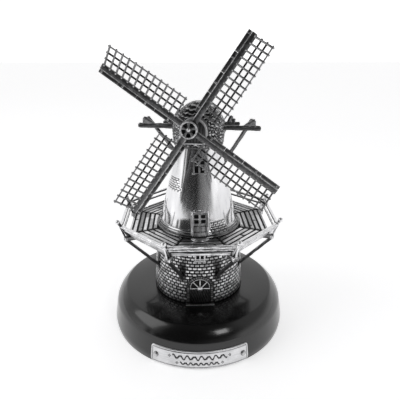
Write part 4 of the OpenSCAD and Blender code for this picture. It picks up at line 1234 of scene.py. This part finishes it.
def wind_boards():
    """Four board lengths along each sail, each with a bright edge, under four cleats."""
    shape = Shape()
    length = (SAIL_LEN - BOARD_START) / 4
    mid = STOCK_W / 2 + BOARD_W / 2
    edge = mid + BOARD_W / 2 - 0.2
    for i in range(4):
        move = on_sail(i)
        for k in range(4):
            x0 = BOARD_START + k * length
            x1 = x0 + length
            bar(shape, (x0 + 0.04, 0, mid), (x1 - 0.08, 0, mid), (0.86, BOARD_W - 0.05), 0.16, (0.32, 0.6),
                6, 0.03, i + 4.0 * k, across=(0, 1, 0), move=move)
            bar(shape, (x0 + 0.3, -0.38, edge), (x1 - 0.3, -0.38, edge), (0.16, 0.2), 0.06, (0.7, 0.85),
                move=move, **SQUARE)
        for x in (10.5, 22.9, 35.3, 46.6):
            bar(shape, (x, -0.35, STOCK_W / 2 - 0.2), (x, -0.35, STOCK_W / 2 + BOARD_W - 0.1), (0.75, 0.5),
                0.15, (0.6, 0.95), across=(1, 0, 0), move=move)
    shape.piece("wind_board_lengths", "sails", "wind_boards", sharp=50)


def lattices():
    """A lattice on each sail: 13 cross bars with a ball at both ends, and three rails across them."""
    inner = STOCK_W / 2
    tip = LATTICE_START + LATTICE_LEN
    for i in range(4):
        move = on_sail(i)
        shape = Shape()
        for k in range(BARS):
            x = LATTICE_START + k * LATTICE_LEN / (BARS - 1)
            end = rail_reach(x) + 0.85
            bar(shape, lattice_point(x, inner - 0.5, 0.2), lattice_point(x, end, 0.2), (0.84, 0.8), 0.18,
                (0.46, 0.72), 3, 0.02, k + i, across=(1, 0, 0), corner=2, face=0, move=move)
            root = np.array([x, -STOCK_T / 2 - 0.05, -1.28 + 0.5 * k / BARS])
            for at, size in ((lattice_point(x, end - 0.25, 0.2), 0.42), (root, 0.46)):
                turned(shape, ball(size), (0, 0, 0), 8, 0.95, move=lambda rings, a=at: move(rings + a))
        for share, rub, size, lift in ((1 / 3, 0.08, 0.8, -0.2), (2 / 3, 0.08, 0.8, -0.2),
                                       (1, 0.7, 0.66, -0.05)):
            places = np.linspace(LATTICE_START - 0.8, tip + 0.8, 9)
            for a, b in zip(places, places[1:]):
                p = lattice_point(a, inner + (rail_reach(a) - inner) * share, lift)
                q = lattice_point(b + 0.05, inner + (rail_reach(b) - inner) * share, lift)
                bar(shape, p, q, (size, size), 0.16, (rub, rub + 0.1), ends=0.2, move=move, **SQUARE)
        shape.piece("lattice_bars_%d" % (i + 1), "sails", "sail_lattice_%d" % (i + 1), sharp=60)


def along_shaft(points):
    """Turns +Z to the shaft's outward way."""
    return on_shaft(points @ spin("x", math.pi / 2).T)


def shaft_and_collar():
    """The shaft with its flange, and the dark collar with a groove around its middle."""
    shaft = Shape()
    flange = [(3.3, 24.7), (3.55, 24.95), (3.58, 26.0), (3.4, 26.28)]
    turned(shaft, [(0.05, 4.0), (1.6, 4.0), (1.68, 4.2), (1.68, 24.6)] + flange + [(0.05, 26.3)],
           count=40, wear_and_shade=0.45, move=along_shaft)
    shaft.piece("shaft_turned", "sails", "windshaft", sharp=40)

    collar = Shape()
    rows = ((0.05, 0, 0.1), (4.0, 0, 0.15), (4.25, 0.2, 0.2), (4.28, 0.9, 0.2), (4.0, 1.25, 0.25),
            (3.3, 1.3, 0.2), (3.1, 1.12, 0.1), (1.9, 1.12, 0.05), (1.7, 1.4, 0.4), (1.6, 2.15, 0.5),
            (0.05, 2.2, 0.4))
    turned(collar, [(r, COLLAR_AT + h) for r, h, _ in rows], count=48,
           wear_and_shade=np.array([worn for _, _, worn in rows]), move=along_shaft)
    collar.piece("collar_turned", "sails", "hub_collar", sharp=50)


def hub_wheel():
    """The small wheel before the collar: a round rim, a boss and five spokes that widen outwards."""
    shape = Shape()
    near = COLLAR_AT + 2.2
    rim_r, tube_r = 3.6, 0.44
    turn = np.linspace(0, 2 * math.pi, 64, endpoint=False)
    tube = np.linspace(0, 2 * math.pi, 12, endpoint=False)[:, None]
    r = rim_r + tube_r * np.cos(tube)
    rim = [r * np.cos(turn), r * np.sin(turn), near + 0.45 + tube_r * np.sin(tube) + 0 * turn]
    shape.ring(along_shaft(np.stack(rim, -1)), 0.95)
    boss = [(0.9, 0), (0.95, 0.3), (0.9, 0.8), (0.6, 1.1), (0.08, 1.16)]
    turned(shape, [(0.05, near)] + [(a, near + b) for a, b in boss], count=24, wear_and_shade=0.98, move=along_shaft)
    for k in range(5):
        way = math.pi / 2 + k * 2 * math.pi / 5
        out, aside = spin("z", way)[:, 0], spin("z", way)[:, 1]
        rows = []
        for reach, half_width, half_height in ((0.6, 0.34, 0.32), (1.6, 0.38, 0.3), (2.6, 0.62, 0.26),
                                               (3.35, 1.0, 0.22)):
            flat, _ = outline(half_width, half_height, 0.12, 3, 0)
            rows.append(out * reach + flat[:, :1] * aside + flat[:, 1:] * (0, 0, 1) + (0, 0, near + 0.5))
        shape.loft(along_shaft(np.stack(rows)), 0.7)
    shape.piece("hub_star_wheel", "sails", "hub_wheel", sharp=50)


# ------------------------------------------------------------------ floor, light and camera

# Greys of the room by direction in degrees from the front, the right positive: along the horizon,
# and above it; they blend between the two heights of LOW_TO_HIGH, and the high one into the roof
LOW_ROOM = [(-180, 0.8), (-105, 0.42), (-76, 0.75), (-71, 0.6), (-68, 0.05), (-64, 0.06), (-62, 0.5),
            (-60, 0.5), (-57, 0.03), (-8, 0.015), (4, 0.07), (30, 0.14), (42, 0.3), (52, 0.75),
            (75, 0.7), (180, 0.8)]
HIGH_ROOM = [(-180, 0.57), (-135, 0.5), (-112, 0.42), (-62, 0.42), (-48, 0.03), (44, 0.02),
             (62, 0.3), (112, 0.36), (140, 0.45), (180, 0.57)]
ROOF = 0.05
LOW_TO_HIGH, HIGH_TO_ROOF = (9, 22), (48, 62)
ROOM_STRENGTH, TABLE_GLOW = 1.6, 0.6
LAMPS = (
    ("key", (-0.66, -0.12, 0.52), 0.5, 1.2),
    ("fill", (0.28, -0.48, 0.44), 0.16, 0.45),
)
LAMP_AIM = (0, 0, 0.08)


def table():
    """A pale table, wide enough to reach the horizon, that glows a little."""
    size = 4.0
    mesh = bpy.data.meshes.new("floor")
    corners = [(x, y, 0) for x, y in ((-size, -size), (size, -size), (size, size), (-size, size))]
    mesh.from_pydata(corners, [], [(0, 1, 2, 3)])
    floor = bpy.data.objects.new("floor", mesh)
    bpy.context.collection.objects.link(floor)
    paper = Finish("paper", 0.9, metallic=0.0)
    paper.colour(paper.ramp(paper.noise(3, 2), [(0.3, 0.88), (0.8, 0.9)]))
    paper.shader.inputs["Emission Color"].default_value = (1, 1, 1, 1)
    paper.shader.inputs["Emission Strength"].default_value = TABLE_GLOW
    mesh.materials.append(paper.mat)


def room():
    """A room that is pale along the horizon, with soft boxes at its sides and a dark roof."""
    world = bpy.data.worlds.new("room")
    bpy.context.scene.world = world
    world.use_nodes = True
    sky = Nodes(world.node_tree)
    way = sky.add("TexCoord", {}, "Generated")
    x, y, z = (sky.add("SeparateXYZ", {0: way}, axis) for axis in "XYZ")

    def profile(angle, reach, stops):
        """Greys at angles in degrees, from -reach to reach."""
        ends = {"From Min": -math.radians(reach), "From Max": math.radians(reach)}
        share = sky.add("MapRange", {"Value": angle} | ends, "Result")
        return sky.ramp(share, [((a + reach) / (2 * reach), (grey, grey, grey, 1)) for a, grey in stops])

    azimuth = sky.add("Math", {0: x, 1: sky.add("Math", {0: y, 1: -1}, operation="MULTIPLY")},
                      operation="ARCTAN2")
    height = sky.add("Math", {0: z}, operation="ARCSINE")
    high_share, roof_share = (profile(height, 90, [(-90, 0), (low, 0), (high, 1), (90, 1)])
                              for low, high in (LOW_TO_HIGH, HIGH_TO_ROOF))
    walls = sky.mix(high_share, profile(azimuth, 180, LOW_ROOM), profile(azimuth, 180, HIGH_ROOM))
    background = sky.tree.nodes["Background"]
    sky.tree.links.new(sky.mix(roof_share, walls, (ROOF, ROOF, ROOF, 1)), background.inputs["Color"])
    background.inputs["Strength"].default_value = ROOM_STRENGTH


def lamps():
    """Square lamps, each turned to the mill: their places and widths in metres, their power in watts."""
    for name, place, width, power in LAMPS:
        lamp = bpy.data.lights.new(name, "AREA")
        lamp.size = width
        lamp.energy = power
        spot = bpy.data.objects.new(name, lamp)
        bpy.context.collection.objects.link(spot)
        spot.location = place
        aim = np.array(place) - LAMP_AIM
        spot.rotation_euler = (math.acos(aim[2] / np.linalg.norm(aim)), 0, math.atan2(aim[0], -aim[1]))


def camera():
    """A camera a little to the left of the door's line, looking down at the mill."""
    reach, height = 197.155 * MM, 151.819 * MM
    turn, pitch = math.radians(2.1), math.radians(21.93)
    lens = bpy.data.cameras.new("camera")
    lens.lens = 34.39
    lens.sensor_width = 36.0
    lens.shift_x = 0.004
    lens.clip_start = 0.01
    eye = bpy.data.objects.new("camera", lens)
    bpy.context.collection.objects.link(eye)
    eye.location = (-reach * math.sin(turn), -reach * math.cos(turn), height)
    eye.rotation_euler = (math.pi / 2 - pitch, 0, -turn)
    bpy.context.scene.camera = eye


table()
room()
lamps()
camera()
bpy.context.scene.view_settings.view_transform = "Standard"

for build in (
        plinth, plate, plate_pins,
        brick_base, door_planks, fanlight, threshold, base_windows,
        deck, stage_timbers, rails,
        tower, foot_ring, crescent_steps, stage_doors, upper_windows,
        cap, tail_frame,
        stocks, wind_boards, lattices, shaft_and_collar, hub_wheel):
    build()
